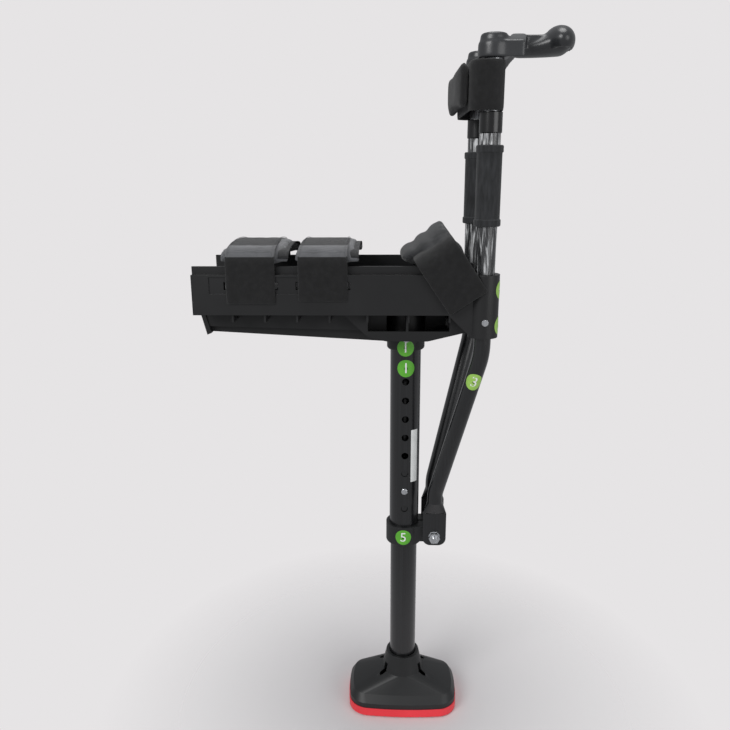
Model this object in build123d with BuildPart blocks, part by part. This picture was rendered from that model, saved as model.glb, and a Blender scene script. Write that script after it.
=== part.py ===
from build123d import *
from math import atan2, cos, degrees, radians, sin
import os

os.makedirs("parts", exist_ok=True)

# Frame: origin on the floor under the leg's axis, +X towards the knee and handle, +Z up, millimetres.
# The two sides are mirror images; "right" is at -Y and "left" at +Y.
SIDES = {"right": -1, "left": 1}

# Gaps between pieces
SLIDE_GAP = 0.08
SEAT_GAP = 0.1
SOFT_GAP = 0.3
BUTTON_GAP = 0.25

# Leg tubes
OUTER_D = 38.1
OUTER_WALL = 1.5
INNER_WALL = 1.8
OUTER_BOTTOM = 250.0
LEG_HOLE_D = 9.0
LEG_HOLE_PITCH = 24.6
LEG_HOLE_COUNT = 8
LEG_LOWEST_HOLE_RISE = 49.6
LEG_BUTTON_HOLE = 1
LOWER_TUBE_TOP_ABOVE_BUTTON = 34.0
BUTTON_PROUD = 1.6
BUTTON_EDGE = 0.9
BUTTON_FLANGE_D = 12.0
BUTTON_FLANGE_T = 1.0
SPRING_T = 0.8
SPRING_W = 10.0
SPRING_LENGTH = 42.0

# Foot
SOLE_LENGTH = 150.0
SOLE_WIDTH = 98.0
SOLE_BOW = 5.0
SOLE_CORNER = 27.0
SOLE_T = 13.0
SOLE_EDGE = 2.0
TREAD_DEPTH = 2.0
TREAD_WIDTH = 3.5
TREAD_PITCH = 16.0
TREAD_COUNT = 8
SHELL_INSET = 0.8
RIM_H = 7.0
SHOULDER_LENGTH = 140.0
SHOULDER_WIDTH = 82.0
SHOULDER_CORNER = 17.0
SHOULDER_H = 9.0
WAIST_LENGTH = 57.0
WAIST_WIDTH = 58.0
WAIST_H = 21.0
WAIST_FLAT = 2.0
COLLAR_D = 46.0
COLLAR_H = 25.0
COLLAR_FLAT = 0.3
SHELL_WALL = 4.0
FOOT_FLOOR_T = 6.0
GROOVE_R = 5.0
GROOVE_RISE = 3.6
SLOT_LENGTH = 15.0
SLOT_WIDTH = 6.5
SLOT_RADIUS = 29.0
SLOT_DROP = 14.0
PLUG_H = 30.0
BOLT_D = 8.0
BOLT_HEAD_D = 13.0
BOLT_HEAD_H = 3.5
BOLT_EDGE = 1.0

# Clamp at the bottom of the outer tube
CLAMP_D = 46.8
CLAMP_H = 27.0
CLAMP_DROP = 3.0
CLAMP_EAR_WIDTH = 38.0
CLAMP_SLIT = 3.0
CLAMP_LIP_GAP = 0.2
EAR_R = 10.5
CLAMP_EDGE = 2.0
CLAMP_BOLT_X = 39.0
CLAMP_BOLT_RISE = 13.5
CLAMP_BOLT_REACH = 10.0
NUT_D = 13.0
NUT_H = 5.0
WASHER_D = 15.0
WASHER_T = 1.4

# Struts
STRUT_D = 19.5
STRUT_WALL = 1.5
STRUT_BEND_DROP = 51.0
STRUT_FOOT_RISE = 60.5
STRUT_BEND_R = 90.0
LUG_WIDTH = 30.0
LUG_T = 6.0
LUG_RISE = 32.5
LUG_TAPER = 16.0
LUG_DROP = 12.5
LUG_ROUND = 10.0

# Uprights beside the knee
POST_X = 86.7
POST_Y = 57.7
POST_D = 22.0
POST_WALL = 1.2
GRIP_D = 27.5
GRIP_RING_D = 29.8
GRIP_RING_H = 8.0
GRIP_ABOVE_SOCKET = 53.0
GRIP_LENGTH = 86.0
GRIP_EDGE = 1.0
FILM_T = 0.35
GRIP_SHIFT = {"right": 0.0, "left": -4.0}
LOCK_D = 24.6
LOCK_ABOVE_GRIP = 12.0
LOCK_H = 22.0
LOCK_LIP = 3.0
LOCK_EDGE = 0.8
COLLET_H = 6.0
COLLET_SLIT = 1.5
UPPER_WALL = 1.2
UPPER_OVERLAP = 171.0

# Knee tray
TRAY_REAR = -246.0
SKIRT_Y = 68.0
SKIRT_T = 3.0
SKIRT_RISE = 39.0
SKIRT_DROP = 7.0
SKIRT_BREAK_X = 46.0
TROUGH_Y = 61.0
TROUGH_T = 3.0
TROUGH_DEPTH = 48.0
FLOOR_TOP = 572.0
FLOOR_T = 4.0
TROUGH_ROUND = 12.0
LEDGE_T = 3.0
SOCKET_D = 34.0
SOCKET_DROP = 33.0
SOCKET_WEB_RISE = 3.0
SOCKET_WEB_T = 2.0
TRAY_RIB_T = 2.4
TRAY_RIB_H = 12.0
REAR_RIB_X = -201.0
REAR_RIB_PITCH = 37.2
REAR_RIB_COUNT = 4
FRONT_RIB_X = -46.0
FRONT_RIB_PITCH = 47.0
FRONT_RIB_COUNT = 3
STRAP_PANEL_X0 = -226.0
STRAP_PANEL_X1 = -68.0
STRAP_PANEL_RISE = 17.5
STRAP_PANEL_H = 19.0
STRAP_PANEL_DEPTH = 1.2
STRAP_SLOT_H = 9.0
STRAP_SLOT_RISE = 22.0
STRAP_SLOT_EXTRA = 3.0
KNEE_SLOT_X = 58.0
KNEE_SLOT_RISE = 2.0
KNEE_SLOT_LENGTH = 26.0
KNEE_SLOT_WIDTH = 5.0
FRONT_WALL_T = 3.0
FRONT_DIP = 26.0
FRONT_DIP_R = 60.0

# Beam under the tray, with the socket of the leg
BEAM_WALL = 3.0
BEAM_Y = 38.0
BEAM_REAR_DEPTH = 22.0
BEAM_FRONT_DEPTH = 27.0
KEEL_Y = 28.0
KEEL_REAR_X = -238.0
KEEL_REAR_DEPTH = 30.0
KEEL_FRONT_DEPTH = 42.0
END_PLATE_T = 5.0
END_PLATE_Y = 40.0
HULL_Y = 52.0
HULL_REAR_X = -80.0
HULL_FRONT_X = 69.0
HULL_DEPTH = 37.0
HULL_FRONT_DEPTH = 26.0
HULL_HALF_LOW = 24.0
HULL_BAND = 12.0
WINDOW_X0 = -46.0
WINDOW_X1 = 49.0
BOSS_D = 46.8
BOSS_DEPTH = 57.0
BOSS_EDGE = 3.0
BOSS_BUTTON_RISE = 16.0
TUBE_STOP_T = 7.0
KEEL_RIB_H = 19.0
END_PLATE_LIP = 2.0
HULL_SAG = 5.0
HULL_BEND_R = 14.0
BEAM_SCREW_Y = 31.5
BEAM_SCREW_HEAD_D = 6.4
BEAM_SCREW_X = (-219.0, -145.0, -108.0)
SCREW_D = 4.0
SCREW_HEAD_D = 7.5
SCREW_HEAD_H = 1.6
SCREW_DROP = 14.0
SOCKET_SCREW_LENGTH = 8.6

# Straps and pads
BAND_T = 2.2
BAND_CROWN = 12.0
ARCH_DEPTH = 100.0
TAB_LENGTH = 5.0
CUSHION_EDGE = 2.5
SHIN_PAD_T = 8.0
SHIN_CREST_RISE = 26.0
SHIN_CORNER = 18.0
REAR_BAND_X0 = -206.0
REAR_BAND_X1 = -150.0
REAR_BAND_DROP = 33.0
REAR_PAD_X0 = -214.0
REAR_PAD_X1 = -134.0
MID_BAND_X0 = -124.0
MID_BAND_X1 = -68.0
MID_BAND_DROP = 30.0
MID_PAD_X0 = -130.0
MID_PAD_X1 = -54.0
CUSHION_X0 = -236.0
CUSHION_X1 = -24.0
CUSHION_T = 14.0
KNEE_CUSHION_X0 = -18.0
KNEE_CUSHION_X1 = 66.0
KNEE_CUSHION_T = 20.0
KNEE_BAND_Y = 75.2
KNEE_BAND_WIDTH = 50.0
KNEE_LEAN = 34.0
KNEE_LEG_X = 68.0
KNEE_LEG_RISE = 8.0
KNEE_BAND_RISE = 78.0
KNEE_PAD_T = 12.0
KNEE_PAD_WIDTH = 66.0
KNEE_PAD_START = 42.0
KNEE_PAD_SHIFT = 5.0
KNEE_CAP_HALF = 50.0
KNEE_CAP_RISE = 94.0

# Handle
HANDLE_ABOVE_STRAP = 1.4
HANDLE_BODY_H = 16.0
HANDLE_CAP_H = 9.0
HANDLE_RING_D = 33.0
HANDLE_CAP_D = 29.0
HANDLE_ARM_X = 117.0
HANDLE_ARM_W = 15.0
HANDLE_NECK_X = 155.0
HANDLE_NECK_HALF = 12.0
HANDLE_RISE = 16.0
HANDLE_CAP_T = 4.0
HANDLE_EDGE = 1.5
HANDLE_ARM_Y = 72.0
HANDLE_ELBOW_X = 128.0
BULB_X = 166.0
BULB_RISE = 25.0
BULB_R = 17.0
BULB_HALF = 32.0
BULB_WALL = 3.0
BULB_RIB_T = 2.0

# Thigh strap
STRAP_HEIGHT = 50.0
STRAP_X0 = 61.5
STRAP_X1 = 99.2
STRAP_Y = 76.0
THIGH_PAD_X = 50.0
THIGH_PAD_HALF = 70.0
THIGH_PAD_ROUND = 5.0
STRAP_CORNER = 16.0

# Worked-out sizes
leg_lowest_hole_z = OUTER_BOTTOM + LEG_LOWEST_HOLE_RISE
clamp_bolt_z = OUTER_BOTTOM + CLAMP_BOLT_RISE
beam_top = FLOOR_TOP - FLOOR_T
strut_bend_z = beam_top - STRUT_BEND_DROP
strut_foot_z = clamp_bolt_z + STRUT_FOOT_RISE
lug_top = clamp_bolt_z + LUG_RISE
lug_bottom = clamp_bolt_z - LUG_DROP
skirt_top = FLOOR_TOP + SKIRT_RISE
socket_top = skirt_top
grip_bottom = socket_top + GRIP_ABOVE_SOCKET
grip_top = grip_bottom + GRIP_LENGTH
lock_bottom = grip_top + LOCK_ABOVE_GRIP
lock_top = lock_bottom + LOCK_H
post_top = lock_top - LOCK_LIP - COLLET_H
upper_bottom = post_top - UPPER_OVERLAP
skirt_bottom = FLOOR_TOP - SKIRT_DROP
trough_top = FLOOR_TOP + TROUGH_DEPTH
socket_bottom = FLOOR_TOP - SOCKET_DROP
socket_web_z = FLOOR_TOP + SOCKET_WEB_RISE
tray_rib_bottom = beam_top - TRAY_RIB_H
strap_panel_z = FLOOR_TOP + STRAP_PANEL_RISE
strap_slot_z = FLOOR_TOP + STRAP_SLOT_RISE
knee_slot_z = FLOOR_TOP + KNEE_SLOT_RISE
beam_rear_z = beam_top - BEAM_REAR_DEPTH
beam_front_z = beam_top - BEAM_FRONT_DEPTH
keel_rear_z = beam_top - KEEL_REAR_DEPTH
keel_front_z = beam_top - KEEL_FRONT_DEPTH
hull_low_z = beam_top - HULL_DEPTH
hull_front_z = beam_top - HULL_FRONT_DEPTH
boss_bottom = beam_top - BOSS_DEPTH
boss_button_z = boss_bottom + BOSS_BUTTON_RISE
tube_stop_z = beam_top - TUBE_STOP_T
keel_rib_z = beam_top - KEEL_RIB_H
screw_z = FLOOR_TOP - SCREW_DROP
shin_crest_z = trough_top + SHIN_CREST_RISE
rear_band_bottom = skirt_top - REAR_BAND_DROP
mid_band_bottom = skirt_top - MID_BAND_DROP
knee_leg_z = FLOOR_TOP + KNEE_LEG_RISE
strap_bottom = lock_top + 2 * SOFT_GAP
handle_bottom = strap_bottom + STRAP_HEIGHT + HANDLE_ABOVE_STRAP
handle_body_top = handle_bottom + HANDLE_BODY_H
handle_cap_top = handle_body_top + HANDLE_CAP_H
handle_tube_stop = handle_cap_top - HANDLE_CAP_T
bulb_z = handle_bottom + BULB_RISE
outer_r = OUTER_D / 2
outer_bore_r = outer_r - OUTER_WALL
lower_r = outer_bore_r - SLIDE_GAP
lower_bore_r = lower_r - INNER_WALL
leg_button_z = leg_lowest_hole_z + LEG_BUTTON_HOLE * LEG_HOLE_PITCH
lower_tube_top = leg_button_z + LOWER_TUBE_TOP_ABOVE_BUTTON
lower_tube_bottom = SOLE_T + FOOT_FLOOR_T
rim_z = SOLE_T + RIM_H
shoulder_z = rim_z + SHOULDER_H
waist_z = shoulder_z + WAIST_H
collar_z = waist_z + COLLAR_H
clamp_bottom = OUTER_BOTTOM - CLAMP_DROP
clamp_top = clamp_bottom + CLAMP_H
ear_y = CLAMP_EAR_WIDTH / 2
lug_y = ear_y + SEAT_GAP + LUG_T / 2
post_r = POST_D / 2
upper_r = post_r - POST_WALL - SLIDE_GAP
socket_r = SOCKET_D / 2
band_half = SKIRT_Y + SOFT_GAP + BAND_T
pad_half = band_half - BAND_T - SOFT_GAP
pad_crest = shin_crest_z - BAND_T - SOFT_GAP
strut_r = STRUT_D / 2
lean_up = Vector(-sin(radians(KNEE_LEAN)), 0, cos(radians(KNEE_LEAN)))
lean_out = Vector(cos(radians(KNEE_LEAN)), 0, sin(radians(KNEE_LEAN)))
beam_screw_spots = [(x, y) for x in BEAM_SCREW_X for y in (-BEAM_SCREW_Y, BEAM_SCREW_Y)]
slot_angle = degrees(atan2(SHOULDER_WIDTH, SHOULDER_LENGTH))
slot_x = SLOT_RADIUS * cos(radians(slot_angle))
slot_y = SLOT_RADIUS * sin(radians(slot_angle))
groove_start = Vector(SHOULDER_LENGTH / 2, SHOULDER_WIDTH / 2, shoulder_z + GROOVE_RISE)
groove_end = Vector(slot_x, slot_y, waist_z + GROOVE_RISE)


def bowed_rectangle(sketch, length, width, bow, corner):
    """Rounded rectangle with gently bowed sides, drawn in the sketch in use."""
    x = length / 2 - bow
    y = width / 2 - bow
    with BuildLine() as sides:
        ThreePointArc((-x, -y), (0, -width / 2), (x, -y))
        ThreePointArc((x, -y), (length / 2, 0), (x, y))
        ThreePointArc((x, y), (0, width / 2), (-x, y))
        ThreePointArc((-x, y), (-length / 2, 0), (-x, -y))
    make_face(sides.edges())
    fillet(sketch.vertices(), radius=corner)


def bar(u0, u1, v0, v1, mode=Mode.ADD):
    """Rectangle given by its two corners in the sketch in use."""
    with Locations(((u0 + u1) / 2, (v0 + v1) / 2)):
        Rectangle(u1 - u0, v1 - v0, mode=mode)


def box_between(x0, x1, y0, y1, z0, z1, mode=Mode.ADD):
    """Box given by its two corners in the part in use."""
    with Locations(((x0 + x1) / 2, (y0 + y1) / 2, (z0 + z1) / 2)):
        Box(x1 - x0, y1 - y0, z1 - z0, mode=mode)


# Foot: a red sole glued under a hollow black shell
with BuildPart() as foot_sole:
    with BuildSketch() as sole_outline:
        bowed_rectangle(sole_outline, SOLE_LENGTH, SOLE_WIDTH, SOLE_BOW, SOLE_CORNER)
    extrude(amount=SOLE_T)
    chamfer(foot_sole.faces().sort_by(Axis.Z)[0].edges(), length=SOLE_EDGE)
    with GridLocations(TREAD_PITCH, 0, TREAD_COUNT, 1):
        Box(TREAD_WIDTH, SOLE_WIDTH, 2 * TREAD_DEPTH, mode=Mode.SUBTRACT)
foot_sole.part.label = "foot_sole"
export_step(foot_sole.part, "parts/foot_sole.step")


def foot_form(inset):
    """The bell of the foot, taken in by inset all round."""
    length = SOLE_LENGTH - 2 * inset
    width = SOLE_WIDTH - 2 * inset
    shoulder_length = SHOULDER_LENGTH - 2 * inset
    shoulder_width = SHOULDER_WIDTH - 2 * inset
    waist_round = WAIST_LENGTH / 2 - inset - WAIST_FLAT
    collar_round = COLLAR_D / 2 - inset - COLLAR_FLAT
    with BuildPart() as form:
        with BuildSketch(Plane.XY.offset(SOLE_T)) as base:
            bowed_rectangle(base, length, width, SOLE_BOW, SOLE_CORNER - inset)
        extrude(amount=RIM_H)
        with BuildSketch(Plane.XY.offset(rim_z)) as rim:
            bowed_rectangle(rim, length, width, SOLE_BOW, SOLE_CORNER - inset)
        with BuildSketch(Plane.XY.offset(shoulder_z)) as shoulder:
            bowed_rectangle(shoulder, shoulder_length, shoulder_width, SOLE_BOW, SHOULDER_CORNER)
        loft()
        with BuildSketch(Plane.XY.offset(shoulder_z)) as bell_foot:
            bowed_rectangle(bell_foot, shoulder_length, shoulder_width, SOLE_BOW, SHOULDER_CORNER)
        with BuildSketch(Plane.XY.offset(waist_z)):
            RectangleRounded(WAIST_LENGTH - 2 * inset, WAIST_WIDTH - 2 * inset, waist_round)
        with BuildSketch(Plane.XY.offset(collar_z)):
            RectangleRounded(COLLAR_D - 2 * inset, COLLAR_D - 2 * inset, collar_round)
        loft(ruled=True)
    return form.part


foot_outside = foot_form(SHELL_INSET)
foot_inside = foot_form(SHELL_INSET + SHELL_WALL)
with BuildPart() as foot_shell:
    add(foot_outside)
    add(foot_inside, mode=Mode.SUBTRACT)
    for x_sign in (-1, 1):
        for y_sign in (-1, 1):
            start = Vector(groove_start.X * x_sign, groove_start.Y * y_sign, groove_start.Z)
            end = Vector(groove_end.X * x_sign, groove_end.Y * y_sign, groove_end.Z)
            run = end - start
            with Locations(Plane(origin=start + run * 0.5, z_dir=run)):
                Cylinder(GROOVE_R, run.length, mode=Mode.SUBTRACT)
            with BuildSketch(Plane.XY.offset(waist_z - SLOT_DROP)):
                with Locations((slot_x * x_sign, slot_y * y_sign)):
                    SlotOverall(SLOT_LENGTH, SLOT_WIDTH, rotation=slot_angle * x_sign * y_sign)
            extrude(amount=COLLAR_H, mode=Mode.SUBTRACT)
    with BuildSketch(Plane.XY.offset(SOLE_T)):
        Circle(COLLAR_D / 2 - SHELL_INSET)
    extrude(amount=collar_z - SOLE_T - SHELL_WALL)
    with BuildSketch(Plane.XY.offset(SOLE_T)) as shell_floor:
        bowed_rectangle(
            shell_floor, SOLE_LENGTH - SHELL_WALL, SOLE_WIDTH - SHELL_WALL, SOLE_BOW, SOLE_CORNER - SHELL_WALL / 2
        )
    extrude(amount=FOOT_FLOOR_T)
    with BuildSketch(Plane.XY.offset(lower_tube_bottom)):
        Circle(lower_r + SEAT_GAP)
    extrude(amount=collar_z, mode=Mode.SUBTRACT)
    with BuildSketch(Plane.XY.offset(SOLE_T)):
        Circle(BOLT_D / 2 + SEAT_GAP)
    extrude(amount=FOOT_FLOOR_T, mode=Mode.SUBTRACT)
    with BuildSketch(Plane.XY.offset(SOLE_T)):
        Circle(BOLT_HEAD_D / 2 + SEAT_GAP)
    extrude(amount=BOLT_HEAD_H, mode=Mode.SUBTRACT)
foot_shell.part.label = "foot_shell"
export_step(foot_shell.part, "parts/foot_shell.step")

with BuildPart() as foot_plug:
    with BuildSketch(Plane.XY.offset(lower_tube_bottom)):
        Circle(lower_bore_r - SEAT_GAP)
        Circle(BOLT_D / 2 + SEAT_GAP, mode=Mode.SUBTRACT)
    extrude(amount=PLUG_H)
foot_plug.part.label = "foot_plug"
export_step(foot_plug.part, "parts/foot_plug.step")

with BuildPart() as foot_bolt:
    with BuildSketch(Plane.XY.offset(SOLE_T)):
        Circle(BOLT_HEAD_D / 2)
    extrude(amount=BOLT_HEAD_H)
    with BuildSketch(Plane.XY.offset(SOLE_T)):
        Circle(BOLT_D / 2)
    extrude(amount=FOOT_FLOOR_T + PLUG_H)
foot_bolt.part.label = "foot_bolt"
export_step(foot_bolt.part, "parts/foot_bolt.step")


# Telescopic leg
with BuildPart() as lower_tube:
    with BuildSketch(Plane.XY.offset(lower_tube_bottom)):
        Circle(lower_r)
        Circle(lower_bore_r, mode=Mode.SUBTRACT)
    extrude(amount=lower_tube_top - lower_tube_bottom)
    with BuildSketch(Plane.XZ):
        with Locations((0, leg_button_z)):
            Circle(LEG_HOLE_D / 2)
    extrude(amount=OUTER_D, mode=Mode.SUBTRACT)
lower_tube.part.label = "lower_tube"
export_step(lower_tube.part, "parts/lower_tube.step")

with BuildPart() as outer_tube:
    with BuildSketch(Plane.XY.offset(OUTER_BOTTOM)):
        Circle(outer_r)
        Circle(outer_bore_r, mode=Mode.SUBTRACT)
    extrude(amount=tube_stop_z - SEAT_GAP - OUTER_BOTTOM)
    with BuildSketch(Plane.XZ):
        for i in range(LEG_HOLE_COUNT):
            with Locations((0, leg_lowest_hole_z + i * LEG_HOLE_PITCH)):
                Circle(LEG_HOLE_D / 2)
        with Locations((0, boss_button_z)):
            Circle(LEG_HOLE_D / 2)
    extrude(amount=OUTER_D, mode=Mode.SUBTRACT)
outer_tube.part.label = "outer_tube"
export_step(outer_tube.part, "parts/outer_tube.step")


def flange_face(bore_r):
    """How far from the axis a button's flange sits, flat against the wall of a round bore."""
    return (bore_r ** 2 - (BUTTON_FLANGE_D / 2) ** 2) ** 0.5 - BUTTON_GAP


def snap_button(z, bore_r, end_r):
    """Round button on a flange inside a tube, its bevelled end proud of the outermost wall."""
    face = flange_face(bore_r)
    with BuildPart() as button:
        with BuildSketch(Plane.XZ.offset(face - BUTTON_FLANGE_T)):
            with Locations((0, z)):
                Circle(BUTTON_FLANGE_D / 2)
        extrude(amount=BUTTON_FLANGE_T)
        with BuildSketch(Plane.XZ.offset(face)):
            with Locations((0, z)):
                Circle(LEG_HOLE_D / 2 - BUTTON_GAP)
        extrude(amount=end_r + BUTTON_PROUD - face)
        chamfer(button.faces().sort_by(Axis.Y)[0].edges(), length=BUTTON_EDGE)
    return button.part


def button_spring(z, bore_r):
    """Folded leaf that pushes a button's flange outwards from the far wall of its tube."""
    near = flange_face(bore_r) - BUTTON_FLANGE_T - SPRING_T
    far = bore_r - SPRING_T
    with BuildPart() as spring:
        with BuildSketch(Plane.YZ.offset(-SPRING_W / 2)):
            with BuildLine():
                FilletPolyline(
                    (-near, z + SPRING_W / 2), (-near, z - SPRING_W / 2), (0, z - SPRING_LENGTH),
                    (far - SPRING_W / 4, z), radius=SPRING_T * 2
                )
            trace(line_width=SPRING_T)
        extrude(amount=SPRING_W)
    return spring.part


leg_button = snap_button(leg_button_z, lower_bore_r, outer_r)
leg_button.label = "leg_button"
export_step(leg_button, "parts/leg_button.step")

leg_button_spring = button_spring(leg_button_z, lower_bore_r)
leg_button_spring.label = "leg_button_spring"
export_step(leg_button_spring, "parts/leg_button_spring.step")

boss_button = snap_button(boss_button_z, outer_bore_r, BOSS_D / 2)
boss_button.label = "boss_button"
export_step(boss_button, "parts/boss_button.step")

boss_button_spring = button_spring(boss_button_z, outer_bore_r)
boss_button_spring.label = "boss_button_spring"
export_step(boss_button_spring, "parts/boss_button_spring.step")


# Clamp that ties the struts to the outer tube
with BuildPart() as tube_clamp:
    with BuildSketch(Plane.XY.offset(clamp_bottom)):
        Circle(CLAMP_D / 2)
    extrude(amount=CLAMP_H)
    fillet(tube_clamp.faces().sort_by(Axis.Z)[0].edges(), radius=CLAMP_EDGE)
    box_between(0, CLAMP_BOLT_X, -ear_y, ear_y, clamp_bolt_z - EAR_R, clamp_bolt_z + EAR_R)
    with BuildSketch(Plane.XZ.offset(-ear_y)):
        with Locations((CLAMP_BOLT_X, clamp_bolt_z)):
            Circle(EAR_R)
    extrude(amount=CLAMP_EAR_WIDTH)
    with BuildSketch(Plane.XY.offset(OUTER_BOTTOM)):
        Circle(outer_r + SEAT_GAP)
    extrude(amount=CLAMP_H, mode=Mode.SUBTRACT)
    with BuildSketch(Plane.XY.offset(clamp_bottom)):
        Circle(lower_r + CLAMP_LIP_GAP)
    extrude(amount=CLAMP_H, mode=Mode.SUBTRACT)
    box_between(0, CLAMP_BOLT_X + EAR_R, -CLAMP_SLIT / 2, CLAMP_SLIT / 2, clamp_bottom, clamp_top, Mode.SUBTRACT)
    with BuildSketch(Plane.XZ.offset(-ear_y)):
        with Locations((CLAMP_BOLT_X, clamp_bolt_z)):
            Circle(BOLT_D / 2 + SEAT_GAP)
    extrude(amount=CLAMP_EAR_WIDTH, mode=Mode.SUBTRACT)
tube_clamp.part.label = "tube_clamp"
export_step(tube_clamp.part, "parts/tube_clamp.step")


def strut(side):
    """Bent tube from a tray socket down to the clamp, its lower end pressed flat into a lug."""
    top = (POST_X, POST_Y * side, socket_web_z)
    bend = (POST_X, POST_Y * side, strut_bend_z)
    foot = (CLAMP_BOLT_X, lug_y * side, strut_foot_z)
    end = (CLAMP_BOLT_X, lug_y * side, lug_top + LUG_TAPER)
    with BuildPart() as tube:
        with BuildLine() as path:
            FilletPolyline(top, bend, foot, end, radius=[STRUT_BEND_R, STRUT_BEND_R / 2])
        with BuildSketch(Plane(origin=path.line @ 0, z_dir=path.line % 0)):
            Circle(strut_r)
            Circle(strut_r - STRUT_WALL, mode=Mode.SUBTRACT)
        sweep()
        with BuildSketch(Plane.XY.offset(lug_top + LUG_TAPER)):
            with Locations((CLAMP_BOLT_X, lug_y * side)):
                Circle(strut_r)
        with BuildSketch(Plane.XY.offset(lug_top)):
            with Locations((CLAMP_BOLT_X, lug_y * side)):
                Ellipse(LUG_WIDTH / 2, LUG_T / 2)
        loft()
        with BuildSketch(Plane.XZ.offset(-lug_y * side - LUG_T / 2)) as lug:
            bar(CLAMP_BOLT_X - LUG_WIDTH / 2, CLAMP_BOLT_X + LUG_WIDTH / 2, lug_bottom, lug_top)
            fillet(lug.vertices().group_by(Axis.Y)[0], radius=LUG_ROUND)
        extrude(amount=LUG_T)
        with BuildSketch(Plane.XZ.offset(-lug_y * side - LUG_T / 2)):
            with Locations((CLAMP_BOLT_X, clamp_bolt_z)):
                Circle(BOLT_D / 2 + SEAT_GAP)
        extrude(amount=LUG_T, mode=Mode.SUBTRACT)
        with BuildSketch(Plane.XZ.offset(-POST_Y * side)):
            with Locations((POST_X, screw_z)):
                Circle(SCREW_D / 2 + SEAT_GAP)
        extrude(amount=-STRUT_D * side, mode=Mode.SUBTRACT)
    return tube.part


for name, side in SIDES.items():
    strut_tube = strut(side)
    strut_tube.label = f"strut_{name}"
    export_step(strut_tube, f"parts/strut_{name}.step")

washer_y = lug_y + LUG_T / 2
nut_y = washer_y + WASHER_T
with BuildPart() as clamp_washers:
    for y in (-nut_y, washer_y):
        with BuildSketch(Plane.XZ.offset(-y - WASHER_T)):
            with Locations((CLAMP_BOLT_X, clamp_bolt_z)):
                Circle(WASHER_D / 2)
                Circle(BOLT_D / 2 + SEAT_GAP, mode=Mode.SUBTRACT)
        extrude(amount=WASHER_T)
clamp_washers.part.label = "clamp_washers"
export_step(clamp_washers.part, "parts/clamp_washers.step")

with BuildPart() as clamp_nut:
    with BuildSketch(Plane.XZ.offset(nut_y)):
        with Locations((CLAMP_BOLT_X, clamp_bolt_z)):
            RegularPolygon(NUT_D / 2, 6, major_radius=False)
            Circle(BOLT_D / 2 + SLIDE_GAP, mode=Mode.SUBTRACT)
    extrude(amount=NUT_H)
clamp_nut.part.label = "clamp_nut"
export_step(clamp_nut.part, "parts/clamp_nut.step")

with BuildPart() as clamp_bolt:
    with BuildSketch(Plane.XZ.offset(-nut_y)):
        with Locations((CLAMP_BOLT_X, clamp_bolt_z)):
            Circle(BOLT_D / 2)
    extrude(amount=nut_y + washer_y + CLAMP_BOLT_REACH)
    chamfer(clamp_bolt.faces().sort_by(Axis.Y)[0].edges(), length=BOLT_EDGE)
    with BuildSketch(Plane.XZ.offset(-nut_y - BOLT_HEAD_H)):
        with Locations((CLAMP_BOLT_X, clamp_bolt_z)):
            Circle(BOLT_HEAD_D / 2)
    extrude(amount=BOLT_HEAD_H)
    chamfer(clamp_bolt.faces().sort_by(Axis.Y)[-1].edges(), length=BOLT_EDGE)
clamp_bolt.part.label = "clamp_bolt"
export_step(clamp_bolt.part, "parts/clamp_bolt.step")


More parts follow.
